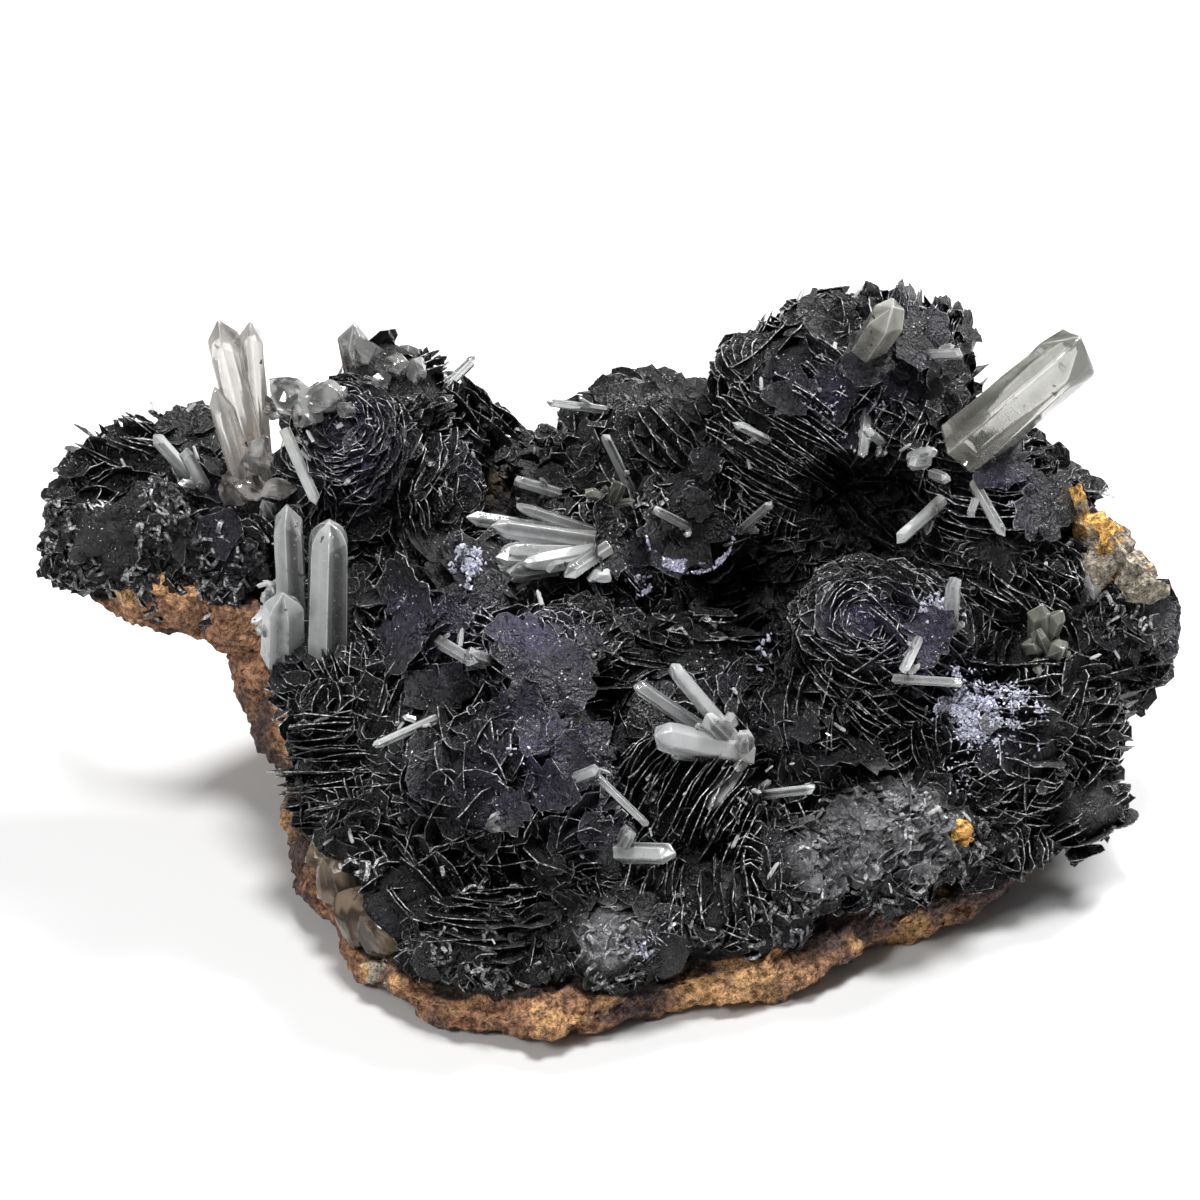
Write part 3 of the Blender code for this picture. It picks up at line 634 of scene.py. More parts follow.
def times(tree, first, second):
    return combined(tree, "MULTIPLY", first, second)


def plus(tree, first, second):
    return combined(tree, "ADD", first, second)


def shaded(tree, colour, value, ramp):
    # a colour made darker or lighter by a number mapped from one range to another
    light = stepped(tree, value, *ramp)
    grey = addNode(tree, "ShaderNodeCombineColor", {k: light for k in range(3)}).outputs[0]
    return blended(tree, colour, grey, 1.0, "MULTIPLY")


def noiseOf(tree, place, scale, detail, roughness=0.6):
    inputs = {"Vector": place, "Scale": scale, "Detail": detail, "Roughness": roughness}
    return addNode(tree, "ShaderNodeTexNoise", inputs).outputs["Fac"]


def markOf(tree, name):
    return addNode(tree, "ShaderNodeAttribute", attribute_name=name).outputs["Fac"]


def objectPlace(tree):
    return addNode(tree, "ShaderNodeTexCoord").outputs["Object"]


def newGroup(name, inputs, outputs):
    # an empty node group with named number or vector sockets; gives the group, its inputs and its output node
    group = bpy.data.node_groups.new(name, "ShaderNodeTree")
    for label, kind in inputs:
        group.interface.new_socket(label, in_out="INPUT", socket_type=kind)
    for label in outputs:
        group.interface.new_socket(label, in_out="OUTPUT", socket_type="NodeSocketFloat")
    return group, addNode(group, "NodeGroupInput").outputs, addNode(group, "NodeGroupOutput")


def filled(tree, group, inputs):
    # a node group placed in a material, with its inputs
    return addNode(tree, "ShaderNodeGroup", inputs, node_tree=group)


groupLook = {"speckDetail": 1.0, "patchScale": 210.0, "patchDetail": 3.0, "creases": 3.0, "fine": 0.5}


def buildSpecks():
    # small irregular specks: where fine noise is above the threshold, let through by broad noise
    numbers = [(name, "NodeSocketFloat") for name in ("Scale", "Above", "Sparseness")]
    group, given, result = newGroup("mineralSpecks", [("Place", "NodeSocketVector")] + numbers, ["Mask"])
    near = noiseOf(group, given["Place"], given["Scale"], groupLook["speckDetail"])
    where = noiseOf(group, given["Place"], groupLook["patchScale"], groupLook["patchDetail"])
    mask = times(group, combined(group, "GREATER_THAN", near, given["Above"]),
                 combined(group, "GREATER_THAN", where, given["Sparseness"]))
    group.links.new(mask, result.inputs["Mask"])
    return group


def buildGrain():
    # stone grain as a height: coarse noise folded at its middle into sharp creases, fine noise added
    sockets = [("Place", "NodeSocketVector"), ("Coarse", "NodeSocketFloat"), ("Fine", "NodeSocketFloat")]
    group, given, result = newGroup("stoneGrain", sockets, ["Height"])
    coarse = noiseOf(group, given["Place"], given["Coarse"], 4.0)
    folded = combined(group, "ABSOLUTE", combined(group, "SUBTRACT", coarse, 0.5), 0.0)
    fine = noiseOf(group, given["Place"], given["Fine"], 3.0, 0.7)
    height = plus(group, times(group, folded, groupLook["creases"]), times(group, fine, groupLook["fine"]))
    group.links.new(height, result.inputs["Height"])
    return group


mineralSpecks = buildSpecks()
stoneGrain = buildGrain()


def newMaterial(name, values):
    # a Principled material with its plain values set on the shader
    material = bpy.data.materials.new(name)
    material.use_nodes = True
    tree = material.node_tree
    shader = tree.nodes["Principled BSDF"]
    for key, value in values.items():
        shader.inputs[key].default_value = value
    return material, tree, shader


def bumped(tree, shader, height, strength, depth):
    # a height in the shader's normal, with its depth in millimetres
    bump = addNode(tree, "ShaderNodeBump", {"Height": height, "Strength": strength, "Distance": depth * mm})
    tree.links.new(bump.outputs["Normal"], shader.inputs["Normal"])


hematiteLook = {  # colours, noise scales, and ramps: from, to and, unless they are 0 and 1, the values there
    "dark": (0.001, 0.001, 0.0014), "grey": (0.018, 0.019, 0.022), "violet": (0.038, 0.031, 0.076),
    # rim: the white of the painted highlights along the plates' rims
    "pale": (0.19, 0.191, 0.197), "rim": (0.9, 0.9, 0.92), "speck": (0.75, 0.75, 0.78),
    "patchScale": 300.0, "fineScale": 1300.0, "broadScale": 130.0,
    # greyEdge darkens each plate towards its middle, as painted shade where it lies deep between the others
    "greyTone": (0.35, 0.85), "greyGrain": (0.45, 0.6, 0.1, 1.15), "greyEdge": (0.1, 0.9, 0.3, 1.0),
    "paleGrain": (0.35, 0.6, 0.35, 1.0), "violetGrain": (0.38, 0.6, 0.1, 0.9),
    # the rimGlint ramps set how wide the painted rim highlights are and break them into patches
    "rimWidth": (0.0, 0.15, 1.0, 0.0), "rimGrain": (0.44, 0.6, 0.1, 1.0), "rimPatch": (0.4, 0.56, 0.15, 1.0),
    "shade": (0.0, 1.0, 0.0, 0.9), "roughness": (0.35, 0.65, 0.2, 0.5),
    # speck: the white of specks that are partly quartz grains and partly painted glints
    "specks": {"Scale": 2400.0, "Above": 0.715, "Sparseness": 0.53},
    "grain": {"Coarse": 620.0, "Fine": 2000.0}, "ior": 1.5, "bump": 1.0, "bumpDepth": 0.75,
}


def hematiteMaterial(look):
    # black, greyer on some plates and, as painted shade between the plates, darker towards each plate's middle;
    # pale or violet in places, with painted white highlights on the rims, white specks that are partly quartz
    # grains and partly painted glints, and painted black shade in the hollows
    material, tree, shader = newMaterial("blackHematite", {"IOR": look["ior"]})
    place = objectPlace(tree)
    patch = noiseOf(tree, place, look["patchScale"], 4.0)
    fine = noiseOf(tree, place, look["fineScale"], 4.0, 0.75)
    tone = times(tree, plus(tree, patch, markOf(tree, "tone")), 0.5)
    grey = times(tree, stepped(tree, tone, *look["greyTone"]), stepped(tree, fine, *look["greyGrain"]))
    # painted shade: darker towards each plate's middle, between the plates
    grey = times(tree, grey, stepped(tree, markOf(tree, "edge"), *look["greyEdge"]))
    colour = blended(tree, look["dark"], look["grey"], grey)
    pale = times(tree, markOf(tree, "pale"), stepped(tree, fine, *look["paleGrain"]))
    colour = blended(tree, colour, look["pale"], pale)
    violet = times(tree, markOf(tree, "violet"), stepped(tree, fine, *look["violetGrain"]))
    colour = blended(tree, colour, look["violet"], violet)
    broad = noiseOf(tree, place, look["broadScale"], 3.0)
    # painted highlight: a white glint along every rim, broken up by fine and broad noise
    lit = times(tree, stepped(tree, fine, *look["rimGrain"]), stepped(tree, broad, *look["rimPatch"]))
    rim = times(tree, stepped(tree, markOf(tree, "rimGap"), *look["rimWidth"]), lit)
    colour = blended(tree, colour, look["rim"], rim)
    # white specks: partly small quartz grains, partly painted glints
    specks = filled(tree, mineralSpecks, {"Place": place} | look["specks"])
    colour = blended(tree, colour, look["speck"], specks.outputs["Mask"])
    # painted shade: black over everything in the hollows, where little light reaches
    colour = blended(tree, colour, look["dark"], stepped(tree, markOf(tree, "shade"), *look["shade"]))
    tree.links.new(colour, shader.inputs["Base Color"])
    tree.links.new(stepped(tree, patch, *look["roughness"]), shader.inputs["Roughness"])
    grain = filled(tree, stoneGrain, {"Place": place} | look["grain"])
    bumped(tree, shader, grain.outputs["Height"], look["bump"], look["bumpDepth"])
    return material


rockLook = {
    "brown": (0.27, 0.14, 0.078), "ochre": (0.46, 0.26, 0.12), "purple": (0.095, 0.062, 0.055),
    "dark": (0.009, 0.008, 0.008), "tan": (0.27, 0.235, 0.185), "orange": (0.60, 0.33, 0.09),
    "broad": (62.0, 6.0, 0.62), "other": (48.0, 6.0, 0.65), "fine": (900.0, 5.0, 0.75),
    "warmPatch": (260.0, 4.0), "ochreFrom": (0.50, 0.55), "purpleFrom": (0.5, 0.57), "tanFrom": (0.1, 0.4),
    "orangeFrom": (1.03, 1.12), "stainFrom": (0.8, 1.05, 0.0, 0.93), "stainPatch": 0.6,
    "light": (0.34, 0.68, 0.25, 1.9), "plain": {"Roughness": 0.85, "Specular IOR Level": 0.35},
    "grain": {"Coarse": 300.0, "Fine": 1100.0}, "bump": 1.0, "bumpDepth": 1.3,
}


def rockMaterial(look):
    # three kinds of stone with sharp borders, stained dark near the dark mass, painted black as shade in the
    # hollows and a valley, and darkened and lightened in fine spots
    material, tree, shader = newMaterial("brownLimonite", look["plain"])
    place = objectPlace(tree)
    broad, other, fine, patch = (
        noiseOf(tree, place, *look[name]) for name in ("broad", "other", "fine", "warmPatch"))
    colour = blended(tree, look["brown"], look["ochre"], stepped(tree, broad, *look["ochreFrom"]))
    colour = blended(tree, colour, look["purple"], stepped(tree, other, *look["purpleFrom"]))
    warm = markOf(tree, "warm")
    colour = blended(tree, colour, look["tan"], stepped(tree, warm, *look["tanFrom"]))
    orange = stepped(tree, plus(tree, warm, patch), *look["orangeFrom"])
    colour = blended(tree, colour, look["orange"], orange)
    # the mark holds the real stain near the mass and the painted shade in the hollows and the valley
    stain = plus(tree, markOf(tree, "stain"), times(tree, other, look["stainPatch"]))
    colour = blended(tree, colour, look["dark"], stepped(tree, stain, *look["stainFrom"]))
    tree.links.new(shaded(tree, colour, fine, look["light"]), shader.inputs["Base Color"])
    grain = filled(tree, stoneGrain, {"Place": place} | look["grain"])
    bumped(tree, shader, grain.outputs["Height"], look["bump"], look["bumpDepth"])
    return material


# colour of the tip, of the root, and of the painted highlights on the ridges and the flaws; white flaws, dark
# spots, transmission and roughness
quartzLooks = {
    "clear": ((0.74, 0.75, 0.75), (0.46, 0.38, 0.33), (1, 1, 1), 0.3, 0.3, 0.8, 0.05),
    "peak": ((0.4, 0.395, 0.35), (0.28, 0.26, 0.22), (0.9, 0.9, 0.84), 0.4, 0.9, 0.62, 0.08),
    "crest": ((0.31, 0.315, 0.305), (0.29, 0.2, 0.17), (0.9, 0.93, 0.92), 0.9, 1, 0.6, 0.1),
    "spire": ((0.5, 0.485, 0.465), (0.42, 0.31, 0.25), (1, 0.98, 0.95), 0.7, 1, 0.7, 0.06),
    "milky": ((0.56, 0.57, 0.575), (0.46, 0.45, 0.43), (1, 1, 1), 0.8, 0.7, 0.68, 0.04),
    "sugar": ((0.34, 0.34, 0.45), (0.17, 0.16, 0.27), (0.75, 0.76, 0.88), 0.2, 0.2, 0.4, 0.15),
    "grey": ((0.42, 0.43, 0.43), (0.27, 0.28, 0.28), (0.97, 0.97, 0.97), 0.8, 0.8, 0.58, 0.05),
    "green": ((0.16, 0.165, 0.14), (0.09, 0.09, 0.075), (0.4, 0.4, 0.36), 0.3, 0.5, 0.5, 0.2),
    "large": ((0.31, 0.31, 0.285), (0.24, 0.23, 0.2), (0.85, 0.85, 0.8), 0.35, 1, 0.74, 0.06),
    "smoky": ((0.12, 0.088, 0.062), (0.07, 0.05, 0.036), (0.28, 0.22, 0.17), 0.5, 0.8, 0.3, 0.22),
}
quartzLook = {  # what all kinds share
    "ior": 1.54, "cloudScale": 380.0, "rootCloud": (0.3, 0.7, 0.5, 1.1), "rootFrom": (0.35, 0.95),
    # the ridge ramps paint white highlights along the ridges; faceLight paints each side lighter or darker
    "faceCloud": 0.5, "faceLight": (0.35, 1.15, 0.4, 1.75), "sharpRidge": (0.86, 0.97),
    "ridgeCloud": (0.34, 0.48), "softRidge": (0.1, 0.9, 0.0, 0.3), "flawNoise": (900.0, 5.0, 0.75),
    "flawFrom": (0.58, 0.7),
    "specks": {"Scale": 700.0, "Above": 0.68, "Sparseness": 0.55}, "spot": (0.06, 0.05, 0.045),
    "streaks": {"Scale": 2.4, "Detail": 3.0}, "bump": 0.2, "bumpDepth": 0.1,
}


def quartzMaterial(name, kind, look):
    # clearer towards the tip, each side painted lighter or darker as if lit differently, with painted white
    # highlights on its ridges, white flaws, a few dark spots and fine growth lines across
    tip, root, highlightAndFlawWhite, flaws, spots, transmission, roughness = kind
    values = {"Transmission Weight": transmission, "IOR": look["ior"], "Roughness": roughness}
    material, tree, shader = newMaterial(name + "Quartz", values)
    place = objectPlace(tree)
    cloud = noiseOf(tree, place, look["cloudScale"], 4.0)
    low = times(tree, markOf(tree, "rootShare"), stepped(tree, cloud, *look["rootCloud"]))
    colour = blended(tree, tip, root, stepped(tree, low, *look["rootFrom"]))
    # painted light: each side lighter or darker, as if it caught the light differently
    faceTone = plus(tree, markOf(tree, "faceTone"), times(tree, cloud, look["faceCloud"]))
    colour = shaded(tree, colour, faceTone, look["faceLight"])
    # painted highlights: white along the ridges, together with the white flaws
    ridge = markOf(tree, "ridge")
    ridgeHighlightAndFlaw = times(tree, stepped(tree, ridge, *look["sharpRidge"]), stepped(tree, cloud, *look["ridgeCloud"]))
    flaw = stepped(tree, noiseOf(tree, place, *look["flawNoise"]), *look["flawFrom"], 0.0, flaws)
    for mask in (stepped(tree, ridge, *look["softRidge"]), flaw):
        ridgeHighlightAndFlaw = combined(tree, "MAXIMUM", ridgeHighlightAndFlaw, mask)
    colour = blended(tree, colour, highlightAndFlawWhite, ridgeHighlightAndFlaw)
    specks = filled(tree, mineralSpecks, {"Place": place} | look["specks"])
    colour = blended(tree, colour, look["spot"], times(tree, specks.outputs["Mask"], spots))
    tree.links.new(colour, shader.inputs["Base Color"])
    streaks = {"W": markOf(tree, "along")} | look["streaks"]
    streak = addNode(tree, "ShaderNodeTexNoise", streaks, noise_dimensions="1D").outputs["Fac"]
    bumped(tree, shader, streak, look["bump"], look["bumpDepth"])
    return material


hematite = hematiteMaterial(hematiteLook)
brownRock = rockMaterial(rockLook)
quartz = {name: quartzMaterial(name, kind, quartzLook) for name, kind in quartzLooks.items()}
print("materials made")


# The dark mass under the plates

crustLook = {
    "shrink": 0.86, "ball": (40, 24), "voxel": 0.8, "passes": 6, "kept": 0.52, "rough": 0.8, "cell": 5,
    "grown": 0.8, "broad": 1.8, "broadCell": 8, "grain": 0.75, "grainCell": 2.4, "everywhere": 0.25,
    "fineGrain": 0.4, "edge": (0.15, 0.3), "tone": (0.25, 0.12), "noRim": 9.0,
}


def balls(centres, radii, spokes, rings):
    # ellipsoids: a point at turn u and tilt v lies at centre + radii * (sin v cos u, sin v sin u, cos v)
    u = 2 * np.pi * np.arange(spokes) / spokes
    v = np.pi * (np.arange(rings) + 1) / (rings + 1)
    ring = np.stack([np.outer(np.sin(v), np.cos(u)), np.outer(np.sin(v), np.sin(u)),
                     np.outer(np.cos(v), np.ones(spokes))], axis=-1).reshape(-1, 3)
    ball = np.concatenate([[[0, 0, 1]], ring, [[0, 0, -1]]])
    points = centres[:, None] + ball[None] * radii[:, None]
    return points.reshape(-1, 3), repeated(closedFaces(spokes, rings), len(ball), len(centres))


centres, radii = lumpsOf(crustLumps + fillLumps)
points, faces = balls(centres, radii * crustLook["shrink"], *crustLook["ball"])
crust, crustFaces, crustNormals = settled(
    meshFrom("crustMass", points, faces, {}), crustLook["voxel"], crustLook["passes"], crustLook["kept"])
# grown out and grainy where it is bare, pushed back to the wall of every hollow
bare = bareAt(crust)
rise = roughNoise(crust, crustLook["cell"] * mm, 3, 1) * crustLook["rough"] + bare * crustLook["grown"]
rise += bare * crustLook["broad"] * roughNoise(crust, crustLook["broadCell"] * mm, 2, 3)
grain = grainNoise(crust, crustLook["grainCell"] * mm, 2)
grain += crustLook["fineGrain"] * grainNoise(crust, 0.5 * crustLook["grainCell"] * mm, 6)
rise += (crustLook["everywhere"] + bare) * crustLook["grain"] * grain
crust = crust + crustNormals * rise[:, None] * mm
for centre, radius in zip(*lumpsOf(hollows)):
    gap = np.linalg.norm(crust - centre, axis=1, keepdims=True) / radius
    crust = centre + (crust - centre) * np.where(gap < 1, 1 / np.maximum(gap, 0.05), 1)
# the mass takes low middle-to-rim shares, so the painted shade of plate middles keeps it dark, less where it is
# bare
edge, tone = (plain + more * bare for plain, more in (crustLook["edge"], crustLook["tone"]))
marks = marksAt(crust, edge, np.full(len(crust), crustLook["noRim"]), tone)
piece("crust_mass", crust, crustFaces, marks, hematite, 50, ["hematite_roses"], "hematite")


# Quartz crystals: what each is like, then the root, tip and width of each crystal in the group

crystalGroups = {
    "spires": ("spire", [
        ((-49.6, 23.3, 47.9), (-54, 22, 75), 5.1), ((-50.3, 21.2, 45.1), (-54.5, 20, 65.5), 3.8),
        ((-48.9, 24.7, 50), (-49.5, 24, 74), 3.5), ((-50.6, 21.2, 47.6), (-47.5, 16, 60), 3.1)]),
    "arm_left": ("milky", [((-57.4, 25.9, 45.5), (-63.5, 20, 57.5), 1.9)]),
    "arm_right": ("milky", [((-56.7, 23.4, 46.2), (-59, 16.5, 57), 1.8)]),
    "crest_point": ("crest", [((-34.2, 27.9, 63.7), (-35.5, 27, 72), 4.7)]),
    "crest_chip": ("crest", [((-27.9, 29.9, 64.4), (-27, 29, 67.5), 3.1)]),
    "hanging_left": ("milky", [((-44.2, 12, 62.7), (-39.5, 5, 54.5), 1.8)]),
    "front_pair": ("grey", [
        ((-43.5, 3.3, 36.4), (-43.5, 2, 56.3), 4.2), ((-38.6, -0.2, 32.2), (-37.4, -1, 55), 7.4),
        ((-44.9, 1.2, 31.5), (-44, -3, 45), 5.6)]),
    "skyline_left": ("clear", [((-26.3, 37.2, 52.4), (-18, 38, 61), 1.6)]),
    "skyline_mid": ("milky", [((1.2, 38.4, 51.9), (-8, 37, 54), 1.5)]),
    "inner_stub": ("milky", [((-5.7, 30.3, 42.3), (-12.5, 26, 47), 1.5)]),
    "spray": ("milky", [
        ((0.8, 16.7, 42.3), (-19, 8, 51), 2.1), ((-1, 16.7, 43.7), (-12, 11, 51), 1.5),
        ((2.2, 16, 42), (-15.5, 8, 49.5), 2.3), ((-1, 15.3, 40.6), (-14, 5, 47), 3),
        ((2.2, 14.6, 42.3), (-11, 4, 45.5), 2.5)]),
    "violet_stub": ("milky", [((-10, 8.2, 41.7), (-13.5, 5, 43), 1.8)]),
    "crest_finger": ("grey", [((4.4, 30.6, 43), (0.5, 28, 53.5), 1.5)]),
    "yellow_cross": ("green", [
        ((1.7, 20.2, 46.8), (-2, 16, 50.5), 1.5), ((1.4, 20.2, 45.7), (3, 16, 52), 2)]),
    "bowl_stub": ("milky", [((13.7, 17.2, 43.5), (7.5, 11, 50.5), 1.5)]),
    "fan": ("milky", [
        ((19.4, -21.3, 30.7), (9.5, -26, 47), 2.6), ((17.7, -21.3, 30.7), (4.5, -26, 44), 1.9),
        ((20.1, -21.3, 30), (7, -30, 38.5), 3.6), ((18.7, -21.3, 28.6), (9.5, -28, 34), 1.8),
        ((19.4, -21.3, 29.6), (14.5, -31, 27), 2.7)]),
    "thin_front": ("milky", [((-3.2, -25.1, 31.9), (6.5, -35, 27), 1.5)]),
    "grey_front": ("grey", [((1.4, -32.4, 21.2), (10, -40, 26), 2.7)]),
    "small_front": ("milky", [((-5.6, -28.4, 29.3), (0, -34, 35.5), 1.5)]),
    "stub_front": ("milky", [((21.4, -22.7, 24.1), (29, -31, 30.5), 1.5)]),
    "thin_right": ("milky", [((43.7, -13.6, 43.6), (41, -23, 44), 1.4)]),
    "tooth_right": ("milky", [((48.5, -7.5, 41.4), (48.5, -10, 51.5), 2.1)]),
    "bar_right": ("milky", [((40.6, -16.7, 39.1), (49, -25, 43.5), 1.6)]),
    "green_pair": ("green", [
        ((62.2, 1, 35.3), (61.5, -1, 42), 3.2), ((63.2, 1, 34.6), (64.6, -1, 41), 2.6),
        ((61.5, 0.3, 33.5), (60.4, -3.4, 37), 3.2), ((63.2, 0.3, 33.2), (65, -3.6, 36.5), 3)]),
    "peak_point": ("peak", [((36.7, 26.9, 65), (40.6, 15.3, 79.4), 4)]),
    "large_right": ("large", [((51.4, 16.4, 57.6), (68, 10, 78.2), 9.8)]),
    "peak_bar": ("milky", [((45.8, 27.1, 66.6), (51, 19, 71), 1.5)]),
    "right_short": ("milky", [((38.1, 22.8, 59.9), (36.5, 8, 60.5), 1.4)]),
    "right_long": ("milky", [((40.4, 21.1, 55.5), (37, 6, 65.5), 1.8)]),
    "hanging_mid": ("milky", [((48.5, 12.6, 51), (41.5, 4, 49), 1.8)]),
    "hanging_right": ("milky", [((52.8, 11.9, 54.2), (56.5, 3, 50.5), 1.8)]),
    "upper_chip": ("milky", [((23.7, 19.4, 57.3), (19, 11, 64), 1.5)]),
    "bowl_right": ("milky", [((20.1, 17, 43.6), (24, 8, 53), 1.4)]),
    "front_prism": ("milky", [((-22.7, -5.4, 38.7), (-17, -18, 42.5), 1.8)]),
    "front_twin": ("milky", [((-22.6, -19, 34.2), (-31, -26, 34), 1.6)]),
}
crystalLook = {  # shape of the section, of the side towards the tip and of the point, in shares of the width
    "corners": 12, "stations": (0.0, 0.3, 0.62, 0.86, 1.0), "tip": 0.6, "unequal": 0.16, "steps": 0.035,
    "flat": (0.75, 1.05), "bevel": 0.06, "offAxis": 0.12, "wider": 1.1,
}
crystalChanges = {  # where one group's look differs; round is how much each crystal's end is rounded off
    "front_pair": {"tip": (0.9, 0.05, 0.3), "round": (0, 0.93, 0.7), "offAxis": 0.03, "unequal": 0.06,
                   "bevel": 0.05, "stations": (0.0, 0.3, 0.62, 0.84, 0.9, 0.95, 0.98, 1.0), "steps": 0.012},
    "spray": {"tip": (0.9, 0.7, 0.9, 0.2, 0.2), "round": (0, 0.4, 0, 0.8, 0.8), "offAxis": 0.04, "wider": 1.2,
              "stations": (0.0, 0.3, 0.62, 0.84, 0.92, 0.97, 1.0)},
    "spires": {"offAxis": 0.06, "tip": 0.9},
    "peak_point": {"wider": 1.55, "tip": 0.45, "offAxis": 0.2},
    "large_right": {"tip": 0.55, "offAxis": 0.25, "unequal": 0.1, "flat": (0.85, 0.95)},
}
prismShape = {
    "uneven": 0.08, "longest": 0.5, "heights": (0.4, 0.3), "narrower": (1.04, 0.08), "roundFrom": 0.84,
}


def withMiddles(ring):
    # the middle of every side put between its two corners
    return np.stack([ring, (ring + np.roll(ring, -1, axis=2)) / 2], axis=3).reshape(*ring.shape[:2], 12, -1)


def prisms(roots, tips, widths, look, chance):
    # six-sided crystals: corner k at share u of its side is root + axis u side(k) + width/2 swell(u) corner(k);
    # the sides stop at unequal heights and run together in a point a little off the axis; a round end narrows
    # by sqrt(1 - round t^2) over its last part
    shape, count, stations = prismShape, len(roots), np.array(look["stations"])
    line = tips - roots
    length = np.linalg.norm(line, axis=1)[:, None]
    axis = unit(line)
    one = across(axis, chance.normal(size=axis.shape))
    two = np.cross(axis, one)
    turn = np.pi / 3 * np.arange(6) + chance.normal(0, shape["uneven"], (count, 6))
    size = 1 + look["unequal"] * chance.uniform(-1, 1, (count, 6))
    flat = chance.uniform(*look["flat"], (count, 1))
    x, y = size * np.cos(turn), size * flat * np.sin(turn)
    point = np.minimum(np.reshape(look["tip"], (-1, 1)) * widths[:, None], shape["longest"] * length)
    high, least = shape["heights"]
    higher = high * np.where(np.arange(6) % 2, 1, -1) * chance.uniform(least, 1, (count, 1))
    side = length - point * (1 + higher)
    foot, less = shape["narrower"]
    swell = foot - less * stations[None, :, None]
    swell = swell + look["steps"] * chance.normal(size=(count, len(stations), 6))
    rounded = np.clip((stations - shape["roundFrom"]) / (1 - shape["roundFrom"]), 0, 1)[None, :, None] ** 2
    rounded = rounded * np.reshape(look.get("round", 0), (-1, 1, 1))
    reach = 0.5 * look["wider"] * widths[:, None, None] * swell * np.sqrt(1 - rounded)
    along = stations[None, :, None] * side[:, None, :]
    ring = roots[:, None, None] + along[..., None] * axis[:, None, None]
    for way, share in ((one, x), (two, y)):
        ring = ring + (reach * share[:, None])[..., None] * way[:, None, None]
    # where the painted white highlight goes: every point, or with twelve corners only the six ridges
    ridge = np.ones(along.shape)
    # painted light: a random lightness for each side, in place of how each side catches the light
    faceTone = np.random.default_rng(count).random((count, 1, 6)) + 0 * along
    if look["corners"] == 12:
        ring, along = withMiddles(ring), withMiddles(along[..., None])
        ridge = np.tile([1.0, 0.0], (count, len(stations), 6))
        between = (faceTone + np.roll(faceTone, 1, axis=2)) / 2
        faceTone = np.stack([between, faceTone], axis=3)
    apex = tips + look["offAxis"] * widths[:, None] * across(axis, chance.normal(size=axis.shape))
    points = np.concatenate([roots[:, None], ring.reshape(count, -1, 3), apex[:, None]], axis=1)
    along = np.concatenate([np.zeros((count, 1)), along.reshape(count, -1), length], axis=1)
    ridge = np.concatenate([np.zeros((count, 1)), ridge.reshape(count, -1), np.ones((count, 1))], axis=1)
    faceTone = faceTone.reshape(count, -1)
    faceTone = np.concatenate([faceTone[:, :1], faceTone, faceTone[:, -1:]], axis=1)
    faces = repeated(closedFaces(look["corners"], len(stations), -1), points.shape[1], count)
    marks = {"along": along.ravel() / mm, "rootShare": (1 - along / length).ravel(), "ridge": ridge.ravel(),
             "faceTone": faceTone.ravel()}
    return points.reshape(-1, 3), faces, marks


def showCrystals(name, kind, roots, tips, widths, look, chance, nodes=()):
    # crystals as one piece, with the places in millimetres
    made = prisms(roots * mm, tips * mm, widths * mm, look, chance)
    return piece(name, *made, quartz[kind], 15, nodes, "quartz")


starts, ends, thick = [], [], []
for number, (name, (kind, rows)) in enumerate(crystalGroups.items()):
    chance = np.random.default_rng(100 + number)
    roots, tips, widths = (column(rows, k) for k in range(3))
    look = crystalLook | crystalChanges.get(name, {})
    made = showCrystals(f"quartz_{name}_grown", kind, roots, tips, widths, look, chance, ["quartz_" + name])
    bevel = made.modifiers.new("softEdges", "BEVEL")
    bevel.width = look["bevel"] * widths.max() * mm
    bevel.segments = 2
    bevel.limit_method = "ANGLE"
    for found, part in zip((starts, ends, thick), (roots + 0.3 * (tips - roots), tips, widths / 2)):
        found.append(part * mm)
crystalStarts, crystalEnds, crystalRadii = (np.concatenate(rows) for rows in (starts, ends, thick))

extraCrystals = [  # crystals that the solids leave out: kind, root, tip and width
    ("grey", (-15.5, 7, 39), (-18.8, -0.5, 38.6), 2.4), ("milky", (-47, 18, 45), (-47.5, 14, 50), 2),
    ("milky", (-2, 11, 43), (-8.5, 5, 44.5), 2.8), ("milky", (-6, 9, 42.5), (-13, 3, 44.5), 2.6),
    ("milky", (1, 11.5, 44), (-5, 5, 43), 2.3), ("milky", (-9, 8.5, 43.5), (-14.5, 4, 46.5), 2.2),
    ("milky", (-16, -13, 40), (-18, -17.5, 43.5), 2.4), ("milky", (46, 12, 57.5), (43, 5, 61), 1.7),
    ("milky", (44, 14, 57), (46.5, 7, 62), 1.8), ("milky", (47, 13, 55), (48.5, 6, 58), 1.5),
    ("grey", (73.5, 12, 39), (73, 10.5, 46), 4.5), ("grey", (70, 9, 36), (69, 7, 42.5), 3.2),
    ("green", (63, 0, 33), (61, -3.5, 39), 2.2),
]
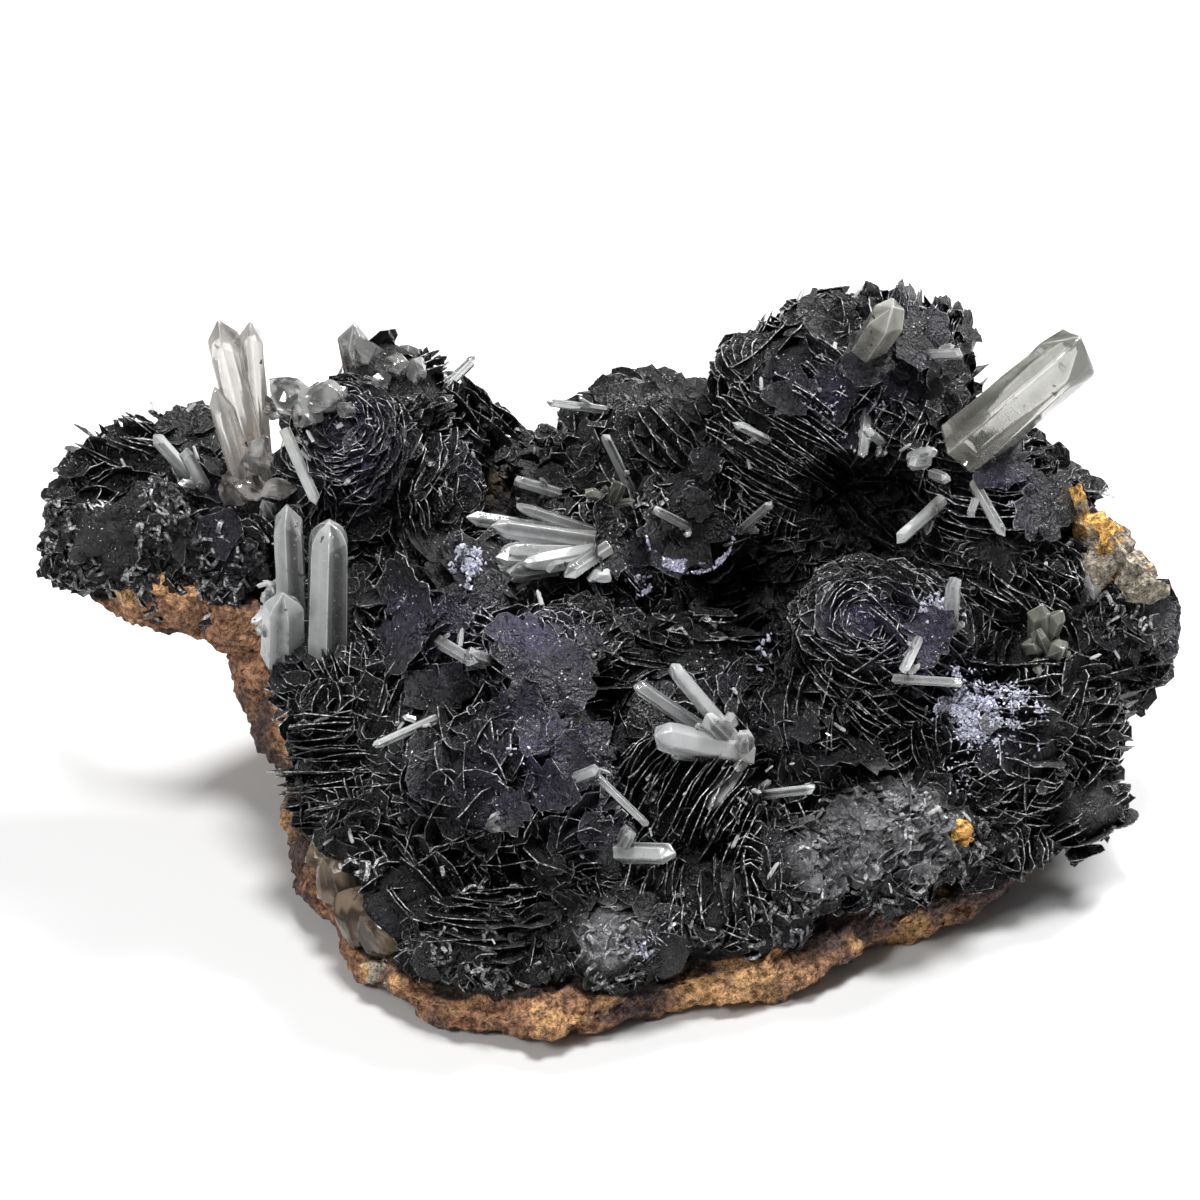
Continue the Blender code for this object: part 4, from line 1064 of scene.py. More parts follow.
# short ones beside every crystal: near its root, tilted off its line by a random share of their length
besideLook = {
    "each": 2, "seat": (0.1, 0.4), "aside": 0.6, "tilt": (0.3, 1.1), "length": (0.8, 1.8),
    "width": (0.35, 0.75),
}
lonely = ("front_pair", "green_pair", "spray")
chance = np.random.default_rng(49)
for kind in ("clear", "milky", "grey", "green"):
    rows = [row for name, (group, table) in crystalGroups.items() if group == kind and name not in lonely
            for row in table for twice in range(besideLook["each"])]
    roots, tips, widths = (column(rows, k) for k in range(3))
    line, loose = tips - roots, chance.normal(size=roots.shape)
    seats = roots + chance.uniform(*besideLook["seat"], (len(rows), 1)) * line
    seats += across(unit(line), loose) * widths[:, None] * besideLook["aside"]
    way = unit(unit(line) + chance.uniform(*besideLook["tilt"], (len(rows), 1)) * across(unit(line), loose))
    ends = seats + way * (chance.uniform(*besideLook["length"], len(rows)) * widths)[:, None]
    widths = widths * chance.uniform(*besideLook["width"], len(rows))
    more = [row[1:] for row in extraCrystals if row[0] == kind]
    if more:
        seats, ends, widths = (
            np.concatenate([part, column(more, k)]) for k, part in enumerate((seats, ends, widths)))
    showCrystals(kind + "_crystals_beside", kind, seats, ends, widths, crystalLook, chance)

# lumps of glassy quartz: the piece's kind, the node it stands for, then the centre and radii of each
quartzChunks = {
    "quartz_crest_block_grown": ("crest", ["quartz_crest_block"], [
        ((-38.2, 13.6, 67), (5.4, 3.4, 4)), ((-43.4, 15.8, 66.4), (4.8, 3.2, 4.2)),
        ((-41, 13.2, 64.2), (4, 2.6, 2.8)), ((-35.4, 11.8, 65.6), (2.8, 2, 1.8)),
        ((-46, 17.4, 63.2), (2.6, 2.2, 3))]),
    "crest_lumps": ("crest", [], [
        ((-33.6, 25, 67.6), (3.4, 2.8, 4.4)), ((-28.8, 20.6, 68.2), (2.8, 2.4, 2.6)),
        ((-25.8, 22.4, 66.6), (2.6, 2.2, 3.4)), ((-31, 18.8, 66.6), (2, 1.8, 2.2)),
        ((-42.6, 13.6, 60), (2.2, 1.8, 2)), ((-29.6, 16.4, 64.2), (1.5, 1.3, 1.5))]),
    "spire_lumps": ("spire", [], [
        ((-48.8, 18.4, 54.2), (4.2, 2.6, 3)), ((-52.2, 19.5, 48.8), (3.6, 2.8, 5.4)),
        ((-46.3, 17.2, 50.4), (4.6, 2.4, 2)), ((-49.6, 17.6, 50.2), (3, 2.4, 3.2))]),
    "smoky_lumps": ("smoky", [], [
        ((-36.4, -24.5, 11.4), (3.8, 5.2, 7.4)), ((-33, -30.5, 9.6), (4.2, 5.4, 6.6)),
        ((-30.4, -35, 9), (5, 3.6, 5.4)), ((-39, -20.5, 13), (2.6, 3.6, 5.4))]),
    "grey_lumps": ("grey", [], [
        ((-45.8, 0.6, 37.2), (3.2, 2.4, 4.2)), ((71, 7.8, 42.6), (2, 1.6, 2.4)),
        ((0, 8, 41.5), (2.8, 1.8, 1.6)), ((-14, -35.5, 27.8), (2.6, 1.4, 2))]),
}
chunkLook = {
    "cuts": 26, "depth": (0.42, 0.8), "grain": 0.12, "grainCell": 1.3, "ridgeCell": 1.1, "toneCell": 2.4,
    "root": 0.7, "length": 0.4, "girth": 0.8,
}


def chunks(centres, radii, cuts, depth, chance):
    # angular lumps: ellipsoids cut by random planes; what lies beyond a plane, at a share of the way out along
    # its normal, is moved straight back onto it; gives points, faces and the number of each point's lump
    points, faces = balls(centres, radii, 24, 14)
    points = points.reshape(len(centres), -1, 3)
    for cut in range(cuts):
        way = unit(chance.normal(size=(len(centres), 1, 3)))
        reach = chance.uniform(*depth, (len(centres), 1)) * np.linalg.norm(radii[:, None] * way, axis=2)
        over = np.sum((points - centres[:, None]) * way, axis=2) - reach
        points = points - np.maximum(over, 0)[..., None] * way
    owner = np.repeat(np.arange(len(centres)), points.shape[1])
    return points.reshape(-1, 3), faces, owner


for number, (name, (kind, nodes, rows)) in enumerate(quartzChunks.items()):
    centres, radii = lumpsOf(rows)
    chance = np.random.default_rng(60 + number)
    points, faces, owner = chunks(centres, radii, chunkLook["cuts"], chunkLook["depth"], chance)
    rise = chunkLook["grain"] * mm * grainNoise(points, chunkLook["grainCell"] * mm, 49)
    points += rise[:, None] * unit(points - centres[owner])
    high = (centres[:, 2] - centres[:, 2].min()) / np.ptp(centres[:, 2])
    marks = {"along": points[:, 2] / mm, "rootShare": chunkLook["root"] * (1 - high)[owner],
             # ridge: random grains painted with white highlights
             "ridge": np.clip(grainNoise(points, chunkLook["ridgeCell"] * mm, 48), 0, 1),
             # faceTone: random patches painted lighter or darker, as if they caught the light differently
             "faceTone": np.clip(0.5 + grainNoise(points, chunkLook["toneCell"] * mm, 50), 0, 1)}
    piece(name, points, faces, marks, quartz[kind], 12, nodes, "quartz")
    half = radii * (chunkLook["length"], 0, 0)
    crystalStarts = np.concatenate([crystalStarts, centres - half])
    crystalEnds = np.concatenate([crystalEnds, centres + half])
    crystalRadii = np.concatenate([crystalRadii, chunkLook["girth"] * radii.mean(axis=1)])


# The plates, from the large rosettes seen in front to the small ones everywhere

plateKeys = ("spokes", "rings", "lobes", "ragged", "notch", "wave", "crumple", "thickness", "thinning")
plateLooks = {
    "rose": (16, 2, ((1, 0.10), (2, 0.12), (3, 0.08), (6, 0.05)), 0.06, 0.28, 0.05, 0.02, 0.17, 0.35),
    "middle": (12, 2, ((1, 0.12), (2, 0.14), (3, 0.10)), 0.09, 0.3, 0.06, 0.025, 0.17, 0.35),
    "small": (9, 1, ((1, 0.14), (2, 0.18), (3, 0.10)), 0.14, 0.3, 0.08, 0.05, 0.16, 0.3),
    "tiny": (6, 1, ((1, 0.2), (2, 0.3)), 0.2, 0.3, 0.05, 0.08, 0.15, 0.3),
    "chip": (6, 1, ((1, 0.15), (2, 0.2)), 0.15, 0.2, 0.1, 0.12, 0.7, 0.3),
    "leaf": (30, 4, ((1, 0.14), (2, 0.26), (3, 0.14), (5, 0.08)), 0.1, 0.34, 0.12, 0.045, 0.22, 0.5),
}
plateLooks = {name: dict(zip(plateKeys, row)) for name, row in plateLooks.items()}
finer = 1.25  # how much closer the plates lie than the table says, and how many more there are


def roseTable(rows):
    # the table's columns as arrays, with its directions turned into the model's axes
    axis, fan = facings(rows, 2), np.radians(column(rows, 6))
    return {"centre": column(rows, 0), "radius": column(rows, 1), "axis": axis,
            "open": across(axis, facings(rows, 3)), "count": np.round(finer * column(rows, 4)).astype(int),
            "pitch": column(rows, 5) / finer, "fan": fan, "bowl": column(rows, 7), "taper": column(rows, 8),
            "wobble": 0.012 + 0.05 * fan}


def grown(look, made, limit, quartzShare, bareChance, chance):
    # plates of one look, fitted to their place and kept inside the box
    return boxed(plates(plateLooks[look], *fitted(made, limit, quartzShare, bareChance, chance), chance))


wholeStacks = ("upperStack", "rightBowl", "leftStack", "frontFoot", "spraySeat", "lowRoseStack")
regions = {
    "left": ("leftCrest", "armTop", "armTip", "armRoot", "leftValley", "innerLeft", "leftStack", "leftTop"),
    "middle": ("backValley", "midCrest", "midFan", "innerShelf", "innerRight", "purpleBox"),
    "upper": ("upperStack", "upperCrest", "peak", "peakBack", "rightBowl", "rightEdge", "rightMass"),
    "lower": ("lowRoseStack", "lowRight", "rightFan", "lowFan", "lowLeftFan", "frontFoot", "spraySeat",
              "frontLow"),
}
regionLook = {"leaves": 3, "out": 0.42, "wholeOut": 0.4, "limit": 1.6, "quartz": 0.15, "bare": 0.1}
shown = []  # the plates on which smaller things grow
for number, (region, names) in enumerate(regions.items()):
    chance = np.random.default_rng(number)
    table = roseTable([roses[name] for name in names])
    rows = roseParts(table, chance)
    whole = np.repeat([name in wholeStacks for name in names], table["count"])
    leaves = broken([part[~whole] for part in rows], regionLook["leaves"], regionLook["out"], chance)
    outer = broken([part[whole] for part in rows], 1, regionLook["wholeOut"], chance)
    made = [np.concatenate(parts) for parts in zip(leaves, [row[whole] for row in rows], outer)]
    shown.append(grown("rose", made, regionLook["limit"], regionLook["quartz"], regionLook["bare"], chance))
    showPlates("roses_" + region, shown[-1])

chance = np.random.default_rng(9)
shown.append(grown("middle", petals(petalRoses, chance), 1.8, 0.1, 0.6, chance))
showPlates("roses_open", shown[-1])

bigLeaves = [  # single leaves that stand out: centre, radius, normal, bowl and how light
    ((-9, -12.5, 43.5), 6.2, (0.1, 0.8, 0.6), -0.25, 0.9),
    ((-6.4, -19.2, 41.6), 6, (0.35, 0.35, 0.85), -0.2, 0.2),
    ((-11.3, -17.3, 40.5), 4.6, (0.6, 0.8, 0.05), 0.1, 1),
    ((-10.5, -24, 37.8), 4.4, (-0.3, 0.3, 0.9), 0.15, 0.7),
    ((-7, -26.8, 36.5), 4.2, (0.5, 0.3, 0.8), -0.2, 0.8), ((-3.2, -29.3, 33.6), 3.6, (0.2, 0.1, 1), 0.1, 0.4),
    ((-7.2, -32, 32), 4.4, (-0.5, -0.1, 0.9), 0.2, 0.8), ((-11.8, -35.3, 29.5), 3.2, (-0.2, 0.4, 0.9), 0, 1),
    ((-26.5, -3, 45), 4.8, (-0.75, -0.1, 0.65), 0.15, 0.6),
    ((-28, -7.5, 39.8), 4.4, (-0.6, 0.3, 0.7), -0.1, 0.9), ((0.9, 12.5, 45), 4.6, (0.8, 0.1, 0.6), 0.2, 0.3),
    ((38, 20.3, 69.3), 4, (-0.25, 0.35, 0.9), 0.1, 0.8), ((57, 12.3, 56.9), 4.2, (0.2, 0.4, 0.9), -0.1, 0.9),
    ((61.5, 8.3, 51), 4.2, (0.5, 0.2, 0.85), 0.1, 0.4), ((64, 12.8, 53), 5.4, (0.45, 0.6, 0.65), -0.3, 0.2),
    ((10.6, 37, 54.8), 6, (0.2, 0.25, 0.95), -0.15, 0.5), ((24.6, 31, 65), 5.8, (-0.3, 0.55, 0.8), -0.25, 0.6),
    ((27.6, 23, 62.3), 3.6, (-0.1, 0.2, 0.95), 0.1, 0.9), ((34, 24, 63), 4.6, (-0.3, 0.1, 0.95), 0.15, 0.8),
    ((46, 27.5, 69.8), 5, (0.3, 0.5, 0.8), -0.1, 0.6), ((34.8, -20.3, 28.9), 5.2, (0.1, 0.85, 0.5), 0.05, 0.4),
    ((45.2, -13.6, 43.8), 4.2, (-0.15, 0.5, 0.85), 0.1, 1), ((15.6, 21.8, 52), 3, (-0.5, 0.5, 0.7), 0.05, 0.6),
    ((14, 17, 48.1), 2.8, (-0.3, 0.5, 0.8), 0.05, 0.7), ((-22, -12.8, 35), 4.6, (-0.15, 0.5, 0.85), 0.1, 0.6),
    ((-1.4, -25, 33), 4, (0.3, 0.3, 0.9), -0.1, 0.5), ((12.6, 14.2, 42.8), 6.2, (0.05, 0.42, 0.9), 0.55, 0),
]
# the large leaves' painted rim highlights are a little fainter
fainterRimGlints = 0.05
centres, radii = lumpsOf(bigLeaves)
singleLeaves = plates(plateLooks["leaf"], centres, facings(bigLeaves, 2), radii, column(bigLeaves, 3),
                      np.random.default_rng(12))
singleLeaves["tone"][:] = column(bigLeaves, 4)[:, None]
singleLeaves["rimGap"] += fainterRimGlints
showPlates("large_leaves", boxed(singleLeaves))

# where the roses of the two tables are, for the smaller ones to keep off
centres, radii = lumpsOf(petalRoses)
centres = centres + 0.6 * radii[:, None] * facings(petalRoses, 2)
stackCentres, stackRadii = lumpsOf(roses.values())
handCentres, handRadii = np.concatenate([stackCentres, centres]), np.concatenate([stackRadii, 0.95 * radii])


kindLook = {"cell": 13, "leaves": 0.2, "blades": -0.2}


def kindOf(spots):
    # what grows at each spot: 0 rosettes, 1 leaves like shingles, 2 crossed blades; by noise, or by the tables
    drawn = roughNoise(spots, kindLook["cell"] * mm, 2, 80)
    kind = np.where(drawn > kindLook["leaves"], 1, np.where(drawn < kindLook["blades"], 2, 0))
    for number, rows in ((1, leafySpots), (2, crossedSpots)):
        kind = np.where(depthIn(spots, *lumpsOf(rows)) < 1, number, kind)
    return kind


def freeSpots(count, reach, seed, apart=0.0):
    # spots on the dark mass that face out into the open, not into the rock, and lie farther from the tables'
    # roses than this share of their radius
    spots, outward = surfaceSpots(crust, crustFaces, count, np.random.default_rng(seed))
    free = depthIn(spots + outward * reach * mm, rockCentres, rockRadii) > 1
    free &= depthIn(spots, handCentres, handRadii) > apart
    return spots[free], outward[free]


# shares of the look's pitch and fan, and the plain range of the others
grownRoses = {
    "deep": 1.3, "pitch": (0.85, 1.2), "fan": (0.2, 1), "bowl": (-0.1, 0.2), "taper": (-0.2, 0.2),
    "wobble": 0.06,
}


def growRoses(spots, outward, sizes, look, seed):
    # rosettes that stand on edge at these spots: axis across the outward direction, leaning by a random share
    chance = np.random.default_rng(seed)
    axis = across(outward, chance.normal(size=outward.shape))
    axis = unit(axis + look["lean"] * chance.uniform(-1, 1, (len(axis), 1)) * outward)
    rows = {"centre": spots / mm - outward * sizes[:, None] * look["sink"], "radius": sizes, "axis": axis,
            "open": across(axis, outward),
            "count": np.maximum(3, (sizes * grownRoses["deep"] / look["pitch"]).astype(int))}
    for key in ("pitch", "fan", "bowl", "taper"):
        rows[key] = chance.uniform(*grownRoses[key], len(sizes))
    rows["pitch"] = look["pitch"] * rows["pitch"]
    rows["fan"] = np.radians(rows["fan"] * look["fan"])
    rows["wobble"] = np.full(len(sizes), grownRoses["wobble"])
    return roseParts(rows, chance)


# medium rosettes where the front's table has none
mediumRoses = {
    "spots": 1500, "apart": 1.0, "gap": 7.0, "size": (4.5, 7.5), "pitch": 0.9, "lean": 0.6, "fan": 32,
    "sink": 0.25, "leaves": 2, "out": 0.4, "limit": 1.6, "quartz": 0.4, "bare": 0.15,
}
spots, outward = freeSpots(mediumRoses["spots"], 3, 20, mediumRoses["apart"])
at = np.flatnonzero(kindOf(spots) == 0)
at = at[spacedOut(spots[at], mediumRoses["gap"] * mm)]
chance = np.random.default_rng(21)
made = growRoses(spots[at], outward[at], chance.uniform(*mediumRoses["size"], len(at)), mediumRoses, 22)
made = broken(made, mediumRoses["leaves"], mediumRoses["out"], chance)
shown.append(grown("middle", made, mediumRoses["limit"], mediumRoses["quartz"], mediumRoses["bare"], chance))
showPlates("roses_around", shown[-1])

# small rosettes, leaves and crossed blades over everything else
overAll = {"spots": 14000, "apart": 0.72}
smallRoses = {"gap": 3.8, "size": (1.8, 4.6), "pitch": 0.75, "lean": 0.7, "fan": 38, "sink": 0.05}
leafCrust = {"gap": 1.75, "size": (1.3, 3.4), "lift": 0.9, "loose": 0.38, "bowl": (-0.3, 0.1)}
crossedBlades = {"gap": 1.9, "size": (1.5, 3.6), "larger": 0.4, "loose": 0.4, "bowl": (-0.15, 0.15)}
lowLeaves = {
    "spots": 16000, "bare": 0.5, "gap": 1.15, "size": (0.9, 2.0), "lift": 0.15, "loose": 0.42,
    "bowl": (-0.3, 0.1),
}
spots, outward = freeSpots(overAll["spots"], 2, 30, overAll["apart"])
places = [np.flatnonzero(kindOf(spots) == number) for number in range(3)]
looks = (smallRoses, leafCrust, crossedBlades)
rosesAt, leavesAt, bladesAt = (at[spacedOut(spots[at], look["gap"] * mm)] for at, look in zip(places, looks))
chance = np.random.default_rng(31)
sizes = chance.uniform(*smallRoses["size"], len(rosesAt))
small = growRoses(spots[rosesAt], outward[rosesAt], sizes, smallRoses, 32)


def loosely(way, loose, chance):
    # directions turned off by a random share
    return unit(way + loose * chance.normal(size=way.shape))


sizes = chance.uniform(*leafCrust["size"], len(leavesAt)) * mm
out = outward[leavesAt]
leaves = (spots[leavesAt] + out * leafCrust["lift"] * mm, loosely(out, leafCrust["loose"], chance), sizes,
          chance.uniform(*leafCrust["bowl"], len(sizes)))
here, out = spots[bladesAt], outward[bladesAt]
sizes = chance.uniform(*crossedBlades["size"], len(here)) * mm
sizes *= 1 + crossedBlades["larger"] * (depthIn(here, *lumpsOf(crossedSpots)) < 1)
way = across(out, chance.normal(size=out.shape))
blades = (here, loosely(way, crossedBlades["loose"], chance), sizes,
          chance.uniform(*crossedBlades["bowl"], len(here)))
spots, outward = freeSpots(lowLeaves["spots"], 1, 34)
at = np.flatnonzero(bareAt(spots) > lowLeaves["bare"])
at = at[spacedOut(spots[at], lowLeaves["gap"] * mm)]
low = (spots[at] + outward[at] * lowLeaves["lift"] * mm, loosely(outward[at], lowLeaves["loose"], chance),
       chance.uniform(*lowLeaves["size"], len(at)) * mm, chance.uniform(*lowLeaves["bowl"], len(at)))
# the piece, its leaves, how far they stand out, how many grow in bare places, how much fainter their painted
# rim highlights are
for name, made, limit, bareChance, fainterGlint in (
        ("small_roses", small, 1.3, 0.3, 0), ("leaf_crust", leaves, 1.3, 0.3, 0.06),
        ("crossed_blades", blades, 1.3, 0.3, 0), ("low_leaves", low, 0.8, 1.0, 0.06)):
    shown.append(grown("small", made, limit, 0.5, bareChance, chance))
    shown[-1]["rimGap"] += fainterGlint
    showPlates(name, shown[-1])


def rimsOf(parts, lower):
    # the rim points of the plates' lower sides, or the middles and first rings of their upper sides
    found = []
    for part in parts:
        points, spokes = part["points"], part["look"]["spokes"]
        found.append((points[:, -spokes:] if lower else points[:, :spokes]).reshape(-1, 3))
    return np.concatenate(found)


# tiny blades on the mass and on the rims of the plates
tinyBlades = {"spots": 2200, "rims": 2600, "size": (0.8, 1.6), "bowl": (-0.2, 0.2), "loose": 0.4}
spots, outward = freeSpots(tinyBlades["spots"], 1.5, 40)
chance = np.random.default_rng(41)
rims = rimsOf(shown, True)
centres = np.concatenate([spots, rims[chance.choice(len(rims), tinyBlades["rims"], replace=False)]])
axis = unit(chance.normal(size=centres.shape))
onMass = axis[:len(spots)]
axis[:len(spots)] = unit(across(outward, onMass) + tinyBlades["loose"] * onMass)
sizes = chance.uniform(*tinyBlades["size"], len(centres)) * mm
made = (centres, axis, sizes, chance.uniform(*tinyBlades["bowl"], len(sizes)))
showPlates("tiny_blades", grown("tiny", made, 1.3, 0.6, 0.8, chance))

# thick angular grains on the bare places and among the plates of the larger rosettes
hematiteGrains = {
    "spots": 16000, "bare": 0.4, "onMass": 1900, "onPlates": 1200, "patch": 11, "size": (0.8, 1.4),
    "darker": 0.5,
}
spots, outward = freeSpots(hematiteGrains["spots"], 1, 44)
spots = spots[bareAt(spots) > hematiteGrains["bare"]][:hematiteGrains["onMass"]]
rims = rimsOf(shown[:6], False)
chance = np.random.default_rng(45)
rims = rims[chance.choice(len(rims), hematiteGrains["onPlates"], replace=False)]
centres = np.concatenate([spots, rims[roughNoise(rims, hematiteGrains["patch"] * mm, 2, 46) > 0]])
made = (centres, unit(chance.normal(size=centres.shape)),
        chance.uniform(*hematiteGrains["size"], len(centres)) * mm, np.zeros(len(centres)))
grains = grown("chip", made, 4.5, 0.9, 1.0, chance)
# a smaller middle-to-rim share darkens the grains through the painted shade of plate middles
grains["edge"] *= hematiteGrains["darker"]
showPlates("hematite_grains", grains, 25)
print("hematite made")


# Quartz specks and needles on the plates

speckLook = {
    "corners": 6, "stations": (0.0, 1.0), "tip": 0.7, "unequal": 0.2, "steps": 0.03, "flat": (0.6, 1.0),
    "offAxis": 0.15, "wider": 1,
}
speckSpread = {
    "count": 1500, "reach": 9, "anywhere": 0.35, "width": (0.25, 0.7), "length": (1.2, 3.5), "sunk": 0.5,
}
chance = np.random.default_rng(50)
rims = rimsOf(shown, True)
seats = rims[chance.choice(len(rims), speckSpread["count"], replace=False)]
nearQuartz, _ = gapToLines(seats, crystalStarts, crystalEnds)
near = np.exp(-nearQuartz / (speckSpread["reach"] * mm))
seats = seats[chance.random(len(seats)) < near + speckSpread["anywhere"]] / mm
direction = unit(chance.normal(size=seats.shape) + unit(seats - np.array([0, 5, 20])))
width = chance.uniform(*speckSpread["width"], len(seats))
tips = seats + direction * (width * chance.uniform(*speckSpread["length"], len(seats)))[:, None]
roots = seats - direction * width[:, None] * speckSpread["sunk"]
showCrystals("quartz_specks", "milky", roots, tips, width, speckLook, chance)

# patches of small grains: their middle, the patch's radius, how many grains, their width and kind; the sugary
# ones sit on the plates, the others fill a ball
grainSpots = [
    ((51.8, -14.9, 31), 4.4, 1000, 0.34, "sugar"), ((55.8, -13, 32), 4.4, 420, 0.3, "sugar"),
    ((49.4, -10.9, 33), 4, 380, 0.3, "sugar"), ((52, -14.9, 31), 8, 260, 0.26, "sugar"),
    ((-18.2, 2.4, 46), 2.6, 260, 0.38, "sugar"), ((5.7, 11.8, 38), 2, 24, 0.4, "sugar"),
    ((22.9, 0.9, 33.5), 2, 30, 0.4, "sugar"), ((5, -40, 12), 3, 60, 0.45, "sugar"),
    ((46, -11, 45), 4, 120, 0.35, "sugar"), ((-7, -26, 35), 6, 160, 0.3, "sugar"),
    ((-26, -4, 42), 5, 120, 0.3, "sugar"), ((57, 10, 53), 5, 90, 0.24, "sugar"),
    ((34, 22, 60), 6, 90, 0.24, "sugar"), ((-45.3, 3, 37), 3.4, 90, 1.2, "grey"),
    ((-46, 4, 41), 2.2, 30, 1, "grey"), ((65, 0, 34), 2.4, 5, 1.2, "green"),
    ((61.5, -3, 32), 2.4, 5, 1.1, "green"),
]
coverLook = {"clumps": 14, "spread": 0.45, "loose": 0.14, "beside": 0.8, "sunk": 0.5}
onPlates = np.concatenate([part["points"].reshape(-1, 3) for part in shown]) / mm


def covering(centre, radius, count, chance):
    # seats of grains on what lies in a patch: spread in clumps across it, each as high as the foremost of the
    # plates' points that are close beside it, or as the nearest one
    aside, up, out = (facing(*way) for way in ((1, 0, 0), (0, 1, 0), (0, 0, 1)))
    near = onPlates[np.linalg.norm(onPlates - centre, axis=1) < 2 * radius] - centre
    clumps = coverLook["spread"] * radius * chance.normal(size=(coverLook["clumps"], 2))
    flat = clumps[chance.integers(0, coverLook["clumps"], count)]
    flat = flat + coverLook["loose"] * radius * chance.normal(size=(count, 2))
    gap = np.linalg.norm(flat[:, None] - np.stack([near @ aside, near @ up], axis=1)[None], axis=2)
    beside = gap < np.maximum(coverLook["beside"], gap.min(axis=1, keepdims=True) * 1.01)
    height = np.where(beside, near @ out, -1000).max(axis=1) - chance.uniform(0, coverLook["sunk"], count)
    return centre + flat[:, :1] * aside + flat[:, 1:] * up + height[:, None] * out


def grainCrystals(seats, direction, width, behind, chance):
    # short crystals that stand on their seats, a share of their width behind and their width in front
    roots, tips = seats - direction * width[:, None] * behind, seats + direction * width[:, None]
    return prisms(roots * mm, tips * mm, width * mm, speckLook, chance)


for kind in ("sugar", "grey", "green"):
    rows = [row for row in grainSpots if row[4] == kind]
    each = np.repeat(np.arange(len(rows)), [row[2] for row in rows])
    away = unit(chance.normal(size=(len(each), 3))) * chance.random((len(each), 1)) ** 0.5
    if kind == "sugar":
        seats = np.concatenate([covering(np.array(row[0]), row[1], row[2], chance) for row in rows])
        away = unit(chance.normal(size=seats.shape))
    else:
        seats = column(rows, 0)[each] + away * column(rows, 1)[each, None]
    width = column(rows, 3)[each] * chance.uniform(0.5, 1.3, len(each))
    direction = unit(away + 0.8 * unit(chance.normal(size=away.shape)))
    made = grainCrystals(seats, direction, width, 1, chance)
    piece(kind + "_grains", *made, quartz[kind], 15, [], "quartz")

# the sugary lining along the lower rim of the bowl, on its surface: out by s, up by bowl * s^2
liningLook = {
    "count": 1000, "turn": 264, "spread": 34, "deep": 0.55, "cell": 1.6, "above": -0.1, "width": (0.12, 0.42),
    "sunk": 0.6, "loose": 1.6, "ridge": 0.5,
}
bowlAt, bowlRadius, bowlAxis, bowlDepth, _ = bigLeaves[-1]
bowlAxis = facing(*bowlAxis)
chance = np.random.default_rng(51)
turn = np.radians(chance.normal(liningLook["turn"], liningLook["spread"], liningLook["count"]))
inner = np.clip(np.cos(turn - np.radians(liningLook["turn"])), 0.1, 1) ** 2
share = 1 - chance.uniform(0, liningLook["deep"], liningLook["count"]) * inner
one = across(bowlAxis, np.array((1.0, 0, 0)))
way = np.cos(turn)[:, None] * one + np.sin(turn)[:, None] * np.cross(bowlAxis, one)
seats = np.array(bowlAt) + bowlRadius * (share[:, None] * way + (bowlDepth * share**2)[:, None] * bowlAxis)
kept = roughNoise(seats * mm, liningLook["cell"] * mm, 2, 52) > liningLook["above"]
seats, way = seats[kept], way[kept]
width = chance.uniform(*liningLook["width"], len(seats))
direction = unit(bowlAxis - way + liningLook["loose"] * chance.normal(size=way.shape))
lining = grainCrystals(seats, direction, width, liningLook["sunk"], chance)
# the lining's painted ridge highlights at half strength
lining[2]["ridge"] *= liningLook["ridge"]
piece("bowl_lining", *lining, quartz["sugar"], 15, [], "quartz")
print("quartz made")


# The brown rock

rockShape = {
    "voxel": 0.85, "passes": 5, "rough": 0.8, "cell": 7, "layer": 0.55, "layerCell": 3, "flatter": 2.5,
    # stain: depths of the real dark stain near the mass; valley: a place painted black as shade
    "grain": 0.45, "grainCell": 2.0, "sunk": 0.4, "stain": (1.0, 1.45), "stainCell": 8,
    "stainRough": 0.15, "valley": ((-14, 38, 38), 10),
}
rock, rockFaces, rockNormals = settled(mergedCopy("limonite_matrix"), rockShape["voxel"], rockShape["passes"])
# broad bumps, folded layers that lie nearly level, and angular grains
rise = rockShape["rough"] * roughNoise(rock, rockShape["cell"] * mm, 3, 60)
layered = roughNoise(rock * (1, 1, rockShape["flatter"]), rockShape["layerCell"] * mm, 3, 61)
rise += rockShape["layer"] * (0.5 - 2 * np.abs(layered))
rise += rockShape["grain"] * grainNoise(rock, rockShape["grainCell"] * mm, 62)
rock = rock + rockNormals * ((rise - rockShape["sunk"]) * mm)[:, None]
rock[:, 2] = np.maximum(rock[:, 2], 0)
ragged = rockShape["stainRough"] * roughNoise(rock, rockShape["stainCell"] * mm, 3, 63)
depth = depthIn(rock, crustCentres, crustRadii) + ragged
inShadeValley = within(rock, [rockShape["valley"]], (0.8, 1.1), rockShape["stainRough"], 64)
# the real dark stain near the mass, and painted shade: black in the hollows and in the shaded valley
stain = np.maximum(1 - smoothStep(*rockShape["stain"], depth), 2 * np.maximum(shadeAt(rock), inShadeValley))
marks = {"stain": stain, "warm": 0 * stain}
piece("limonite_rock", rock, rockFaces, marks, brownRock, 60, ["limonite_matrix"], "limonite_rock")

